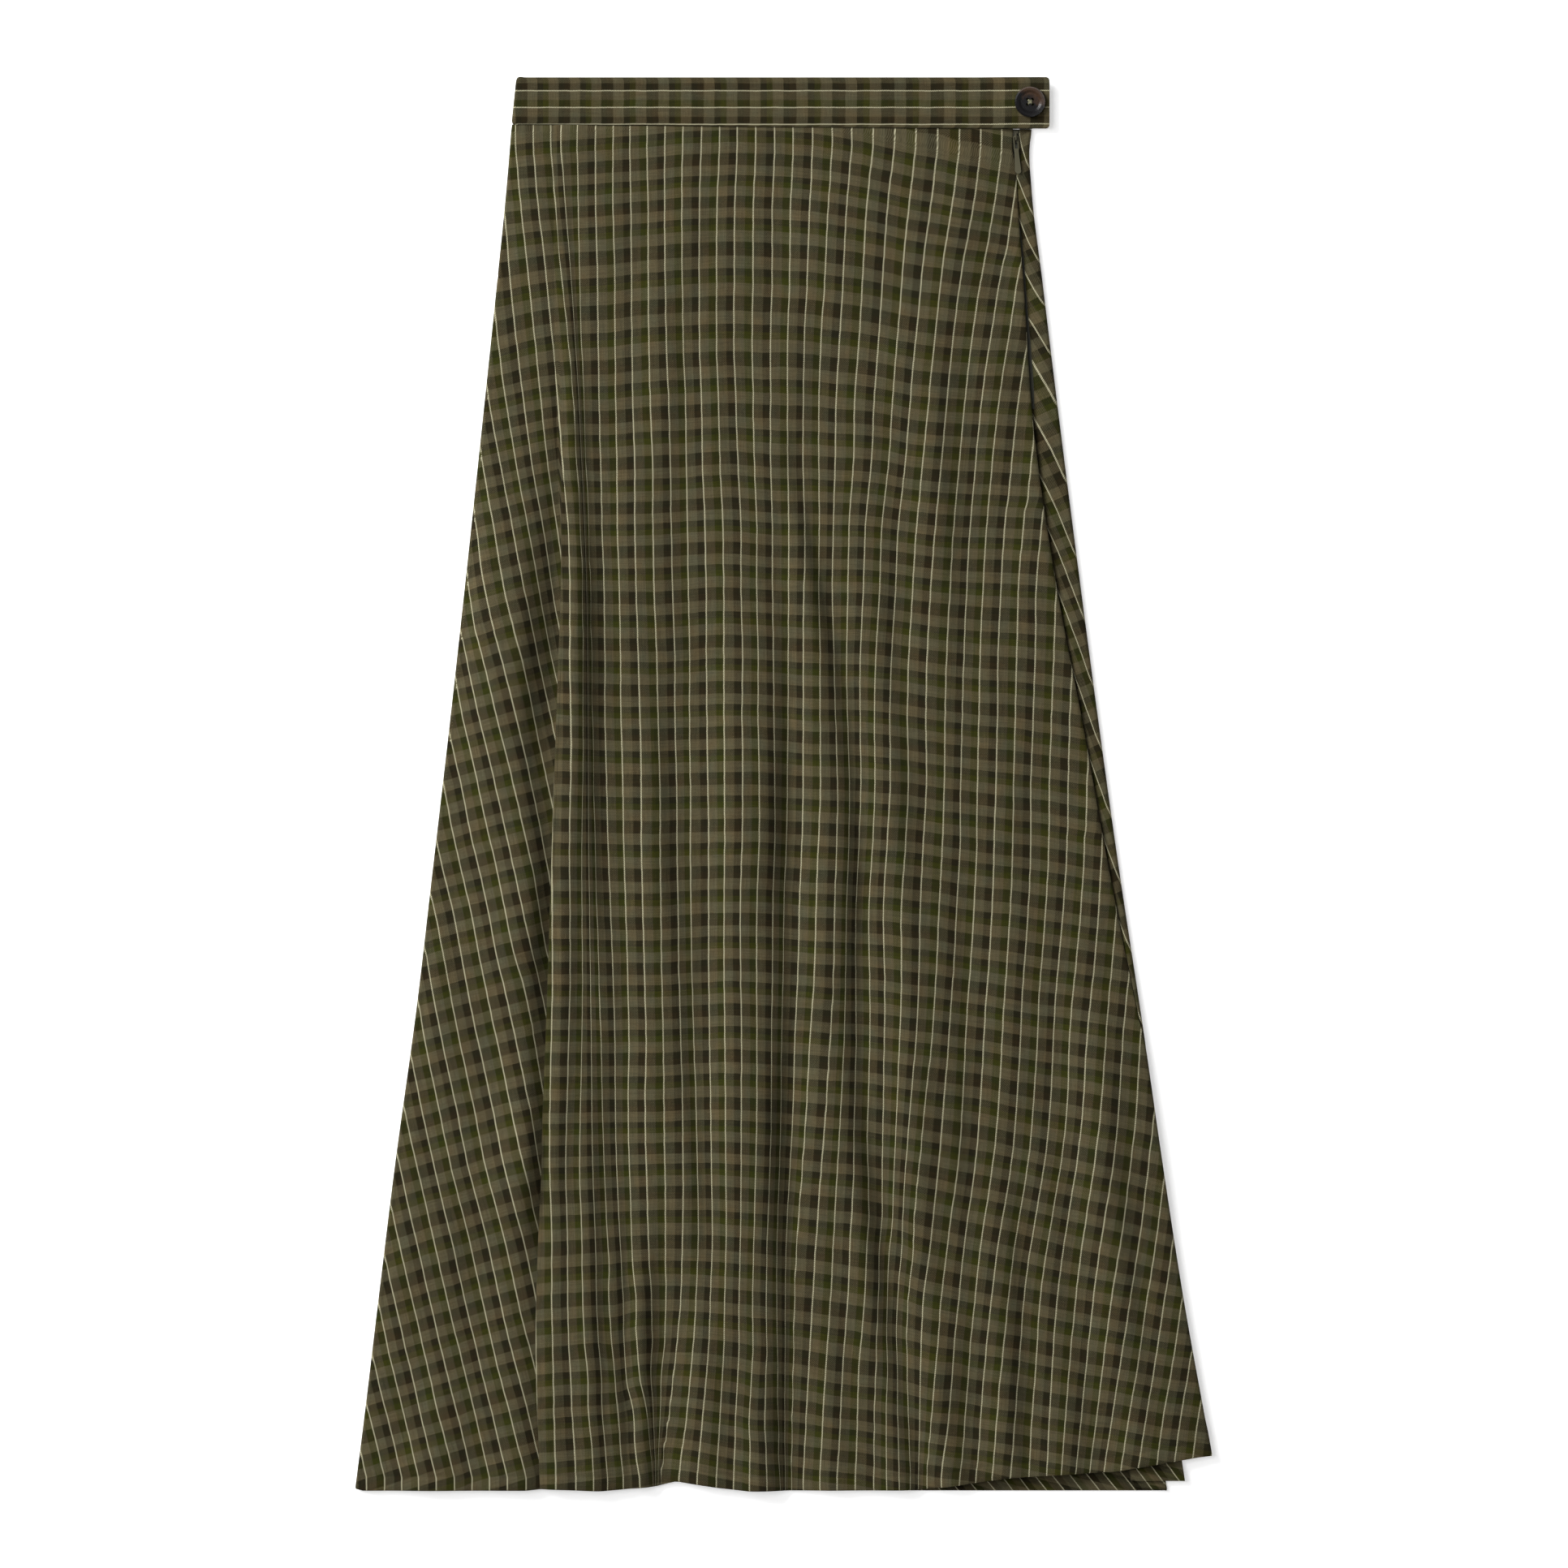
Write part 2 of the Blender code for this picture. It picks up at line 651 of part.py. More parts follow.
def make_zip_slider(material):
    """The slider: a body that stands on the tape in the seam, with a bridge over the hinge."""
    x, y, z = hinge_place()
    lay = Lay(SLIDER_DROP)
    bottom = float(lay.front_height(lay.seam)) - WALL / 2
    base_top = z - BRIDGE_HOLE_HEIGHT / 2
    half = SLIDER_LENGTH / 2
    body = block(SLIDER_WIDTH, (-half, bottom - z), (half, base_top - z))
    slider = add_object("zip_slider", *body, material)

    half = BRIDGE_LENGTH / 2
    root = base_top - z - BRIDGE_ROOT
    arch = block(BRIDGE_WIDTH, (-half, root), (half, base_top - z + BRIDGE_HEIGHT))
    bridge = add_object("bridge_shape", *arch, material)
    add_bevel(bridge, BRIDGE_ROUND, 2)

    half, low = BRIDGE_HOLE_LENGTH / 2, -BRIDGE_HOLE_HEIGHT / 2
    hole = add_object("bridge_hole", *block(2 * BRIDGE_WIDTH, (-half, low), (half, -low)), material)
    for helper, operation in ((bridge, "UNION"), (hole, "DIFFERENCE")):
        helper.hide_render = True
        helper.display_type = "WIRE"
        boolean = slider.modifiers.new(operation.title(), "BOOLEAN")
        boolean.operation = operation
        boolean.solver = "EXACT"
        boolean.object = helper
    for obj in (slider, bridge, hole):
        obj.location = (x * MM, y * MM, z * MM)
    return slider


def pull_outline():
    """The pull's outline in its own plane, clockwise from its top left, hinge at the origin."""
    top = PULL_BAR / 2
    table = (
        (top, PULL_NECK_HALF_WIDTH - 0.5),
        (top - 0.5, PULL_NECK_HALF_WIDTH),
        (-PULL_EYE_LENGTH, PULL_NECK_HALF_WIDTH - 0.15),
        (-PULL_EYE_LENGTH - 2.0, PULL_NECK_HALF_WIDTH - 0.3),
    )
    right = [(half, y) for y, half in table]
    centre = -PULL_LENGTH + PULL_DROP_HALF_WIDTH
    for angle in np.linspace(math.radians(15), -math.pi / 2, 8):
        across, down = math.cos(angle), math.sin(angle)
        right.append((PULL_DROP_HALF_WIDTH * across, centre + PULL_DROP_HALF_WIDTH * down))
    left = [(-px, py) for px, py in right[-2::-1]]
    return right + left


def leaned(px, py):
    """Leans the pull's lower part to the right, as it hangs."""
    return px + PULL_LEAN * max(-py - PULL_LEAN_START, 0.0)


def make_pull_tab(material):
    """The pull: a teardrop with a long eye whose top bar turns in the slider's bridge."""
    half = PULL_THICKNESS / 2
    outline = pull_outline()
    count = len(outline)
    vertices = [(leaned(px, py), py, side) for side in (-half, half) for px, py in outline]
    faces = [tuple(range(count)), tuple(range(2 * count - 1, count - 1, -1))]
    faces += [(i, count + i, count + (i + 1) % count, (i + 1) % count) for i in range(count)]
    pull = add_object("pull_tab", vertices, faces, material)
    normals = bmesh.new()
    normals.from_mesh(pull.data)
    bmesh.ops.recalc_face_normals(normals, faces=normals.faces)
    normals.to_mesh(pull.data)
    normals.free()

    low, high = (-PULL_EYE_LENGTH, -PULL_THICKNESS), (-PULL_BAR / 2, PULL_THICKNESS)
    eye = add_object("pull_eye", *block(2 * PULL_EYE_HALF_WIDTH, low, high), material)
    eye.hide_render = True
    eye.display_type = "WIRE"
    for vertex in eye.data.vertices:
        vertex.co.x = leaned(vertex.co.x / MM, vertex.co.y / MM) * MM
    boolean = pull.modifiers.new("Eye", "BOOLEAN")
    boolean.operation = "DIFFERENCE"
    boolean.solver = "EXACT"
    boolean.object = eye
    add_bevel(pull, PULL_ROUND, 1)
    for obj in (pull, eye):
        obj.location = tuple(value * MM for value in hinge_place())
    return pull


def make_button(material):
    """The button: a turned disc with a raised rim, a dished middle and four sewing holes."""
    top = BUTTON_THICKNESS
    edge = BUTTON_RADIUS
    profile = (
        (edge - 1.4, 0.0),
        (edge - 0.4, 0.5),
        (edge, 1.4),
        (edge - 0.2, top - 0.7),
        (edge - 0.9, top),
        (edge - BUTTON_RIM, top - 0.1),
        (edge - BUTTON_RIM - 1.4, top - BUTTON_DISH),
    )
    vertices = []
    for radius, height in profile:
        for side in range(BUTTON_SIDES):
            angle = 2 * math.pi * side / BUTTON_SIDES
            vertices.append((radius * math.cos(angle), radius * math.sin(angle), height))
    faces = [tuple(range(BUTTON_SIDES - 1, -1, -1))]
    for ring in range(len(profile) - 1):
        start = ring * BUTTON_SIDES
        for side in range(BUTTON_SIDES):
            a, b = start + side, start + (side + 1) % BUTTON_SIDES
            faces.append((a, b, b + BUTTON_SIDES, a + BUTTON_SIDES))
    last = (len(profile) - 1) * BUTTON_SIDES
    faces.append(tuple(range(last, last + BUTTON_SIDES)))
    button = add_object("button", vertices, faces, material)
    band_top = FRONT_LAY + TAB_STEP + BAND_WALL / 2
    place = (BUTTON_X * MM, (GROUND_TOP - BUTTON_DROP) * MM, (band_top + SEAM_GAP) * MM)
    button.location = place

    sides = 10
    for hole in range(BUTTON_HOLES):
        turn = 2 * math.pi * (hole + 0.5) / BUTTON_HOLES
        centre = (BUTTON_HOLE_RING * math.cos(turn), BUTTON_HOLE_RING * math.sin(turn))
        ring = [
            (
                centre[0] + BUTTON_HOLE_RADIUS * math.cos(2 * math.pi * i / sides),
                centre[1] + BUTTON_HOLE_RADIUS * math.sin(2 * math.pi * i / sides),
            )
            for i in range(sides)
        ]
        vertices = [(px, py, level) for level in (-1.0, top + 1.0) for px, py in ring]
        faces = [tuple(range(sides - 1, -1, -1)), tuple(range(sides, 2 * sides))]
        faces += [(i, (i + 1) % sides, sides + (i + 1) % sides, sides + i) for i in range(sides)]
        cutter = add_object(f"button_hole_{hole + 1}", vertices, faces, material)
        cutter.location = place
        cutter.hide_render = True
        cutter.display_type = "WIRE"
        boolean = button.modifiers.new(f"Hole {hole + 1}", "BOOLEAN")
        boolean.operation = "DIFFERENCE"
        boolean.solver = "EXACT"
        boolean.object = cutter
    return button


def main():
    """Clears the scene and makes the skirt."""
    for obj in list(bpy.data.objects):
        bpy.data.objects.remove(obj, do_unlink=True)
    cloth = make_material("check_cloth", CHECK_CLOTH, 0.9)
    make_panel("front_panel", front_points, front_hem, cloth)
    make_panel("back_panel", back_points, back_hem, cloth)
    make_waistband(make_material("band_cloth", BAND_CLOTH, 0.9))
    make_zip_tape(make_material("tape_cloth", TAPE_CLOTH, 0.8))
    make_zip_slider(make_material("slider_metal", DARK_BRASS, 0.4, 1.0))
    make_pull_tab(make_material("pull_metal", OLIVE_METAL, 0.45, 0.6))
    make_button(make_material("horn", HORN_BROWN, 0.25))


main()
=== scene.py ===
"""The looks of a checked wool midi skirt that lies flat on its back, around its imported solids.

The row frame is in metres with +Z up. Lengths below are in millimetres unless their name says
otherwise. A "drop" is the distance down the skirt from the top edge of its waistband. A
"section" is the skirt cut across at one drop: the middle line of its cloth, from the left side
seam up over the front, round the right edge and along the back to the left side seam again.
"""

import json
import logging
import math
from dataclasses import dataclass, field
from enum import Enum
from typing import NamedTuple

import bpy
import numpy as np
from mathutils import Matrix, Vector

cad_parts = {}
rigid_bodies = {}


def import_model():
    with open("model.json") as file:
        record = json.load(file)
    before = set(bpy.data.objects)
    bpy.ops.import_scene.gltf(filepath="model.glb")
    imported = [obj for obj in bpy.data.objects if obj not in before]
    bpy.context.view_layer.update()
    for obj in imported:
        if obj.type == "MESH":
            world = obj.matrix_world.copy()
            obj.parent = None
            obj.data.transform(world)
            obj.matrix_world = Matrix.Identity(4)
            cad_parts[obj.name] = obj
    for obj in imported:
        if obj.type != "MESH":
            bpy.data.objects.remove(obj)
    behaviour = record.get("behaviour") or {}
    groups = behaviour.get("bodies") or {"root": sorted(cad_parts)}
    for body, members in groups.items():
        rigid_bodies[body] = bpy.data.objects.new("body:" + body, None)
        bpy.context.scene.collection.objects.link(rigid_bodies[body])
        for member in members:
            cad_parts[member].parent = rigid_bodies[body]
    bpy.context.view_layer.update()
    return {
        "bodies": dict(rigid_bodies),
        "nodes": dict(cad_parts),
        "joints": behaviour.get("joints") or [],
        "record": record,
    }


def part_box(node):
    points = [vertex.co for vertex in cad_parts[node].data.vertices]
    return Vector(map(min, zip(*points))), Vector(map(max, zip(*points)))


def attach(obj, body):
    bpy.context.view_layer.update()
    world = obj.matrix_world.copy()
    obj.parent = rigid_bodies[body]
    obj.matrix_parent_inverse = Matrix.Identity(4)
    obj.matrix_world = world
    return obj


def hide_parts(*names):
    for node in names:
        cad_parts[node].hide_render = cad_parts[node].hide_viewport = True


LOG = logging.getLogger("midi_skirt")
MM = 0.001
LENGTH = 836.0
GROUND_TOP = LENGTH / 2
LATTICE = 96
CELLS_ABOVE = 4.0


class EdgeStripe(NamedTuple):
    """A drop on the right edge: how many stripes cross it above, and how they slant from it."""

    drop: float
    crossed: float
    slant: float


class Column(NamedTuple):
    """A place across the waistband's front, and how many dark columns lie left of it."""

    across: float
    number: float


class Side(Enum):
    """The two cloth panels of the skirt."""

    FRONT = "front"
    BACK = "back"


class Slot(Enum):
    """The record's material slots for the two cloths."""

    CHECK = "check_cloth"
    BAND = "band_cloth"


class Outline(NamedTuple):
    """The laid skirt's edges at a drop, and how far the back panel comes over the right edge."""

    drop: float
    left: float
    right: float
    over: float


class Fold(NamedTuple):
    """A fold of the cloth over itself: its visible edge, turn, run and the ridge beside it."""

    drop: float
    edge: float
    turn: float
    run: float
    crest: float


class Ridge(NamedTuple):
    """A soft fold down the front: its centre at four drops, half width, height and start."""

    at_waist: float
    at_middle: float
    at_calf: float
    at_hem: float
    half_width: float
    height: float
    starts: float


class Crease(NamedTuple):
    """A crease: its crest at five drops, how wide it is either side, its height and its run."""

    at_waist: float
    at_hip: float
    at_middle: float
    at_calf: float
    at_hem: float
    left_width: float
    right_width: float
    height: float
    starts: float
    grown: float
    ends: float


class Dent(NamedTuple):
    """A short soft dent or bump: its place, half width, half length, lean and height."""

    x: float
    drop: float
    half_width: float
    half_length: float
    lean: float
    height: float

    def near(self, x: np.ndarray, drop: float) -> np.ndarray:
        """The dent's height at places across one drop.

        Args:
            x: The places.
            drop: The drop.

        Returns:
            A height for each place, which fades away from the dent's middle.
        """
        down = (drop - self.drop) / self.half_length
        centre = self.x + self.lean * (drop - self.drop)
        return self.height * np.exp(-(down**2) - ((x - centre) / self.half_width) ** 2)


class HemPoint(NamedTuple):
    """How far the front hem is lifted above the skirt's lowest edge, at a place across it."""

    across: float
    lift: float


class Tilt(NamedTuple):
    """How steeply the bands fall to the right at a place across, at the drops of TILT_DROPS."""

    across: float
    degrees: tuple[int, ...]


class BandDrop(NamedTuple):
    """A numbered dark band of the check, and the drop at which its middle lies."""

    number: float
    drop: float


class GuideStripe(NamedTuple):
    """A numbered cream stripe of the check, and where it lies at the drops of GUIDE_DROPS."""

    number: float
    at_waist: float
    at_hip: float
    at_seat: float
    at_knee: float
    at_calf: float
    at_hem: float


def rows(kind: type, *values: tuple) -> tuple:
    """A table whose rows have the kind's named columns."""
    return tuple(kind(*row) for row in values)


OUTLINE = rows(
    Outline,
    (28.0, -161.2, 147.3, 9.8),
    (40.0, -162.1, 145.4, 8.4),
    (65.0, -164.2, 146.4, 8.6),
    (122.0, -169.9, 153.1, 11.4),
    (209.0, -179.0, 163.7, 15.9),
    (295.0, -188.2, 174.7, 14.6),
    (382.0, -197.8, 186.2, 9.6),
    (468.0, -207.8, 198.2, 6.2),
    (554.0, -217.9, 211.2, 1.9),
    (641.0, -229.9, 223.7, -4.0),
    (727.0, -240.5, 237.1, -12.0),
    (800.0, -249.3, 250.3, -16.2),
    (836.0, -253.9, 256.8, -17.4),
)
FRONT_FOLD = rows(
    Fold,
    (28.0, -132.5, 14.0, 5.0, 0.0),
    (190.0, -131.2, 22.0, 4.5, 0.3),
    (240.0, -131.6, 52.0, 3.2, 1.0),
    (300.0, -132.0, 120.0, 2.6, 2.4),
    (360.0, -134.0, 172.0, 4.5, 3.6),
    (434.0, -136.6, 180.0, 9.0, 4.4),
    (545.0, -140.2, 180.0, 15.0, 4.0),
    (675.0, -145.0, 180.0, 20.0, 2.6),
    (750.0, -146.9, 180.0, 23.0, 1.8),
    (836.0, -144.0, 180.0, 25.0, 1.2),
)
BACK_TUCK = rows(
    Fold,
    (28.0, 27.0, 0.0, 0.0, 0.0),
    (480.0, 27.0, 0.0, 0.0, 0.0),
    (560.0, 27.0, 60.0, 1.5, 0.0),
    (620.0, 27.0, 130.0, 2.0, 0.0),
    (680.0, 27.0, 180.0, 5.0, 0.0),
    (836.0, 30.0, 180.0, 18.0, 0.0),
)
RIDGE_DROPS = (242.0, 434.0, 626.0, 818.0)
RIDGES = rows(
    Ridge,
    (-173.5, -180.5, -191.0, -203.0, 13.0, 2.2, 120.0),
    (-93.5, -84.0, -79.7, -82.0, 9.0, 2.6, 180.0),
    (-35.0, -29.3, -31.7, -46.0, 12.0, 4.2, 150.0),
    (9.1, 20.2, 22.1, 28.0, 9.0, 3.4, 160.0),
    (35.5, 64.3, 76.3, 97.0, 11.0, 4.0, 180.0),
    (112.3, 128.0, 146.0, 160.0, 15.0, 2.0, 240.0),
)
FRONT_HEM = rows(
    HemPoint,
    (-253.0, 1.0), (-249.0, 0.0), (-152.0, 0.3), (-143.0, 1.2), (-108.0, 0.0), (-76.0, 2.6),
    (-63.4, 5.6), (-51.4, 3.8), (-38.0, 1.8), (-20.0, 0.0), (75.0, 0.4), (97.0, 2.4),
    (133.0, 7.5), (198.0, 11.5), (235.0, 17.6), (253.0, 20.6),
)
CREASE_DROPS = (31.0, 157.0, 387.0, 618.0, 828.0)
CREASES = rows(
    Crease,
    (-150.0, -154.0, -158.0, -157.0, -157.0, 26.0, 11.0, 8.2, 190.0, 150.0, 420.0),
    (-152.0, -152.0, -149.2, -153.0, -155.0, 24.0, 7.2, 9.2, 390.0, 120.0, 640.0),
    (-150.0, -156.0, -163.0, -158.0, -154.0, 20.0, 9.0, 4.4, 600.0, 100.0, 900.0),
    (-136.0, -134.6, -136.2, -140.0, -144.0, 4.8, 3.0, -2.4, 170.0, 60.0, 330.0),
    (-185.0, -185.0, -185.0, -185.0, -186.0, 20.0, 24.0, 3.2, 690.0, 120.0, 900.0),
    (-138.0, -130.0, -120.0, -114.0, -92.0, 10.0, 6.5, 1.9, 20.0, 160.0, 470.0),
    (-129.0, -120.5, -109.5, -103.0, -82.0, 4.5, 6.0, -1.2, 20.0, 120.0, 480.0),
    (-85.0, -82.0, -78.0, -61.0, -48.0, 14.0, 7.5, 3.4, 300.0, 140.0, 720.0),
    (-20.0, -19.0, -13.0, -13.5, -13.0, 20.0, 10.5, 6.4, 190.0, 260.0, 900.0),
    (-6.0, -5.0, 3.5, 3.0, 4.0, 5.5, 6.0, -2.2, 210.0, 160.0, 900.0),
    (-44.0, -20.0, 27.0, 36.0, 67.0, 14.0, 8.5, 4.6, 130.0, 290.0, 900.0),
    (-30.0, -7.0, 40.0, 50.5, 83.0, 5.5, 6.5, -1.8, 100.0, 220.0, 900.0),
    (95.0, 95.0, 96.0, 100.0, 102.0, 14.0, 6.5, 2.6, 400.0, 150.0, 740.0),
    (120.0, 120.0, 122.0, 128.0, 134.0, 12.0, 7.0, 2.4, 620.0, 90.0, 900.0),
    (150.0, 160.0, 172.0, 189.0, 214.0, 16.0, 8.0, 2.4, 470.0, 120.0, 900.0),
    (40.0, 44.0, 62.0, 70.0, 88.0, 16.0, 8.0, 1.6, 60.0, 160.0, 420.0),
    (84.0, 88.0, 100.0, 110.0, 120.0, 18.0, 8.0, 1.3, 60.0, 160.0, 430.0),
    (-70.0, -72.0, -66.0, -60.0, -60.0, 16.0, 8.0, 1.8, 60.0, 160.0, 330.0),
    (-117.0, -117.0, -117.0, -116.0, -112.0, 9.0, 5.0, 2.8, 560.0, 120.0, 900.0),
    (-98.0, -98.0, -98.0, -101.0, -97.0, 7.0, 4.2, 3.2, 640.0, 90.0, 900.0),
    (-84.0, -84.0, -84.0, -86.0, -84.0, 7.0, 4.2, 3.8, 660.0, 80.0, 900.0),
    (-73.0, -73.0, -73.0, -74.0, -72.0, 6.0, 5.0, -2.6, 660.0, 80.0, 900.0),
    (-196.0, -196.0, -200.0, -206.0, -214.0, 20.0, 11.0, 1.8, 420.0, 200.0, 900.0),
)
DENTS = rows(
    Dent,
    (-50.0, 765.0, 9.0, 40.0, 0.0, 3.0),
    (-96.0, 775.0, 3.0, 34.0, 0.1, -1.5),
    (118.0, 700.0, 10.0, 90.0, 0.12, 0.9),
    (150.0, 745.0, 12.0, 80.0, 0.15, -0.8),
    (92.0, 240.0, 16.0, 120.0, 0.05, 0.9),
    (118.0, 150.0, 12.0, 70.0, -0.05, -0.6),
    (20.0, 120.0, 16.0, 60.0, 0.0, 0.8),
    (-78.0, 180.0, 14.0, 90.0, 0.05, 0.8),
    (165.0, 842.0, 55.0, 40.0, 0.0, 1.6),
)

# Where the numbered cream stripes lie: 0 is the first one right of the deep fold
GUIDE_DROPS = (42.0, 157.0, 272.0, 503.0, 733.0, 828.0)
LEFT_GUIDES = rows(
    GuideStripe,
    (-20, -360.0, -347.0, -328.0, -279.0, -229.0, -206.5),
    (-13, -286.0, -273.0, -254.0, -205.5, -156.0, -133.0),
    (-8, -234.0, -220.0, -201.5, -153.0, -102.0, -80.0),
    (-4, -191.5, -179.0, -159.5, -111.0, -60.0, -38.0),
    (-1, -160.0, -147.5, -134.0, -79.0, -27.0, -6.0),
)
RIGHT_GUIDES = rows(
    GuideStripe,
    (-1, -160.0, -147.5, -138.5, -137.8, -138.0, -136.5),
    (0, -151.0, -137.0, -127.4, -127.4, -128.8, -125.0),
    (1, -142.0, -127.5, -120.5, -120.0, -119.5, -114.0),
    (3, -123.0, -120.5, -116.5, -111.5, -103.0, -96.5),
    (5, -102.0, -100.5, -98.5, -94.0, -87.5, -78.0),
    (8, -70.5, -70.0, -67.5, -63.0, -62.5, -74.5),
    (9, -60.0, -60.0, -58.0, -55.5, -53.0, -62.5),
    (12, -28.0, -30.0, -26.5, -25.5, -27.0, -30.5),
    (14, -6.0, -9.0, -8.0, -6.5, -11.0, -11.5),
    (15, 5.0, 1.0, 2.0, -0.5, -5.0, -3.5),
    (17, 28.5, 20.5, 20.0, 19.0, 5.0, 3.0),
    (18, 40.5, 31.5, 28.5, 30.0, 15.5, 10.0),
    (20, 65.5, 54.5, 48.0, 42.0, 36.5, 30.0),
    (22, 91.0, 76.5, 67.5, 59.0, 55.0, 52.0),
    (25, 128.5, 111.0, 99.5, 90.5, 72.5, 73.5),
    (27, 151.0, 132.0, 119.0, 110.5, 92.0, 84.0),
    (30, 187.0, 164.0, 151.5, 142.5, 122.0, 113.0),
    (34, 235.0, 207.0, 196.0, 184.0, 160.0, 155.0),
    (38, 280.0, 250.0, 241.0, 226.0, 202.5, 188.0),
    (42, 325.0, 292.0, 285.0, 268.0, 243.5, 228.5),
)

TILT_DROPS = (69.0, 175.0, 281.0, 386.0, 492.0, 598.0, 703.0, 809.0)
LEFT_TILTS = (
    Tilt(-195.0, (-18, -18, -18, -18, -17, -16, -18, -17)),
    Tilt(-166.0, (-5, -17, -18, -17, -16, -15, -19, -17)),
    Tilt(-137.0, (-3, -13, -18, -17, -16, -16, -18, -17)),
)
RIGHT_TILTS = (
    Tilt(-137.0, (-3, -3, 2, 4, 2, 0, -6, -4)),
    Tilt(-108.0, (-5, -2, 2, 4, 2, 0, -5, -5)),
    Tilt(-80.0, (-5, -5, -2, -1, -1, -1, -2, -12)),
    Tilt(-51.0, (-3, -4, -4, -5, -6, -4, 4, 15)),
    Tilt(-22.0, (2, 4, 6, 4, 2, 4, 6, 8)),
    Tilt(7.0, (4, 1, 1, 5, 5, 6, 7, 6)),
    Tilt(35.0, (10, 5, -1, 0, 3, 4, 6, 6)),
    Tilt(64.0, (13, 13, 11, 8, 4, 6, 14, 13)),
    Tilt(93.0, (12, 6, 3, 9, 12, 9, 13, 6)),
    Tilt(122.0, (12, 2, 2, 4, 6, 9, 13, 9)),
    Tilt(151.0, (12, 6, 5, 8, 8, 10, 15, 12)),
    Tilt(195.0, (12, 6, 8, 8, 9, 10, 12, 9)),
)

# Where the numbered dark bands lie down the skirt, left and right of the deep fold
LEFT_BANDS_AT = -166.0
LEFT_BANDS = rows(
    BandDrop,
    (-15.2, 28.0), (-8.0, 128.5), (-4.0, 186.5), (0.0, 244.0), (4.0, 301.0), (8.0, 358.0),
    (12.0, 416.0), (16.0, 473.0), (20.0, 530.5), (24.0, 589.0), (28.0, 647.0), (32.0, 708.0),
    (36.0, 764.5), (39.0, 807.5), (41.0, 836.0),
)
RIGHT_BANDS_AT = 9.0
RIGHT_BANDS = rows(
    BandDrop,
    (-14.6, 28.0), (-13.0, 50.0), (-10.0, 88.5), (-7.0, 135.5), (-5.0, 168.0), (-1.0, 227.5),
    (4.0, 294.5), (8.0, 350.0), (12.0, 403.0), (16.0, 457.5), (20.0, 513.5), (24.0, 567.5),
    (28.0, 623.5), (30.0, 649.5), (32.0, 678.5), (34.0, 710.0), (36.0, 741.0), (38.0, 773.0),
    (40.0, 799.5), (42.8, 836.0),
)

# Patches in which the stripes lie further right, by the height
SWAYS = rows(
    Dent,
    (150.0, 632.0, 75.0, 62.0, 0.0, 3.6),
)

# Patches in which the stripes wander more, as the cloth is crumpled there
CRUMPLES = rows(
    Dent,
    (-92.0, 765.0, 24.0, 52.0, 0.0, 0.34),
    (-14.0, 790.0, 10.0, 40.0, 0.0, 0.22),
    (62.0, 700.0, 18.0, 60.0, 0.0, 0.28),
    (105.0, 790.0, 20.0, 50.0, 0.0, 0.20),
)

# The waistband's check is stretched a little more towards its tab
BAND_COLUMNS = rows(
    Column,
    (-155.5, 0.0), (-105.0, 4.0), (-51.5, 8.0), (3.0, 12.0), (61.0, 16.0), (119.5, 20.0),
    (157.0, 22.5),
)

# How the back panel's stripes cross the right edge where it comes over onto the front
EDGE_STRIPES = rows(
    EdgeStripe,
    (40.0, -0.4, 0.30),
    (54.0, 0.0, 0.31),
    (83.0, 1.0, 0.33),
    (135.0, 3.0, 0.50),
    (192.0, 5.0, 0.38),
    (281.0, 7.0, 0.24),
    (397.0, 10.0, 0.21),
    (600.0, 15.0, 0.21),
    (740.0, 17.0, 0.21),
    (765.0, 16.8, 0.21),
    (836.0, 12.6, 0.21),
)


def read(table: tuple, column: str, drop: float) -> float:
    """Reads a table's column at a drop, along a smooth curve through its rows.

    Args:
        table: Rows that have a drop.
        column: The column's name.
        drop: Where to read it.

    Returns:
        The column's value there.
    """
    drops = np.array([row.drop for row in table])
    values = np.array([getattr(row, column) for row in table])
    return smooth_through(drops, values, drop)


def smooth_through(known: np.ndarray, values: np.ndarray, at: float) -> float:
    """Reads a smooth curve through points.

    Args:
        known: Places of the points, rising.
        values: Their values.
        at: Where to read the curve.

    Returns:
        The curve's value there, held beyond both ends.
    """
    slopes = np.gradient(values, known)
    at = min(max(at, known[0]), known[-1])
    i = min(max(int(np.searchsorted(known, at)) - 1, 0), len(known) - 2)
    width = known[i + 1] - known[i]
    t = (at - known[i]) / width
    ends = values[i] * (1 + 2 * t) * (1 - t) ** 2 + values[i + 1] * t**2 * (3 - 2 * t)
    return ends + width * (slopes[i] * t * (1 - t) ** 2 - slopes[i + 1] * t**2 * (1 - t))


def ease(t: np.ndarray) -> np.ndarray:
    """Goes smoothly from 0 to 1 as t does, and stays there outside."""
    t = np.clip(t, 0.0, 1.0)
    return t * t * (3 - 2 * t)


def uneven(x: np.ndarray, drop: np.ndarray, cell: tuple, seed: int) -> np.ndarray:
    """Smooth uneven values from -1 to 1, one hump about every cell.

    Args:
        x: Places across.
        drop: Places down.
        cell: Width and length of a cell.
        seed: Which pattern of humps.

    Returns:
        A value for each place.
    """
    lattice = np.random.default_rng(seed).uniform(-1.0, 1.0, (LATTICE, LATTICE))
    u = np.asarray(x, float) / cell[0] + LATTICE / 2
    v = np.asarray(drop, float) / cell[1] + CELLS_ABOVE
    i = np.floor(u).astype(int)
    j = np.floor(v).astype(int)
    s = ease(u - i)
    t = ease(v - j)
    i = i % (LATTICE - 1)
    j = j % (LATTICE - 1)
    upper = lattice[j, i] * (1 - s) + lattice[j, i + 1] * s
    lower = lattice[j + 1, i] * (1 - s) + lattice[j + 1, i + 1] * s
    return upper * (1 - t) + lower * t


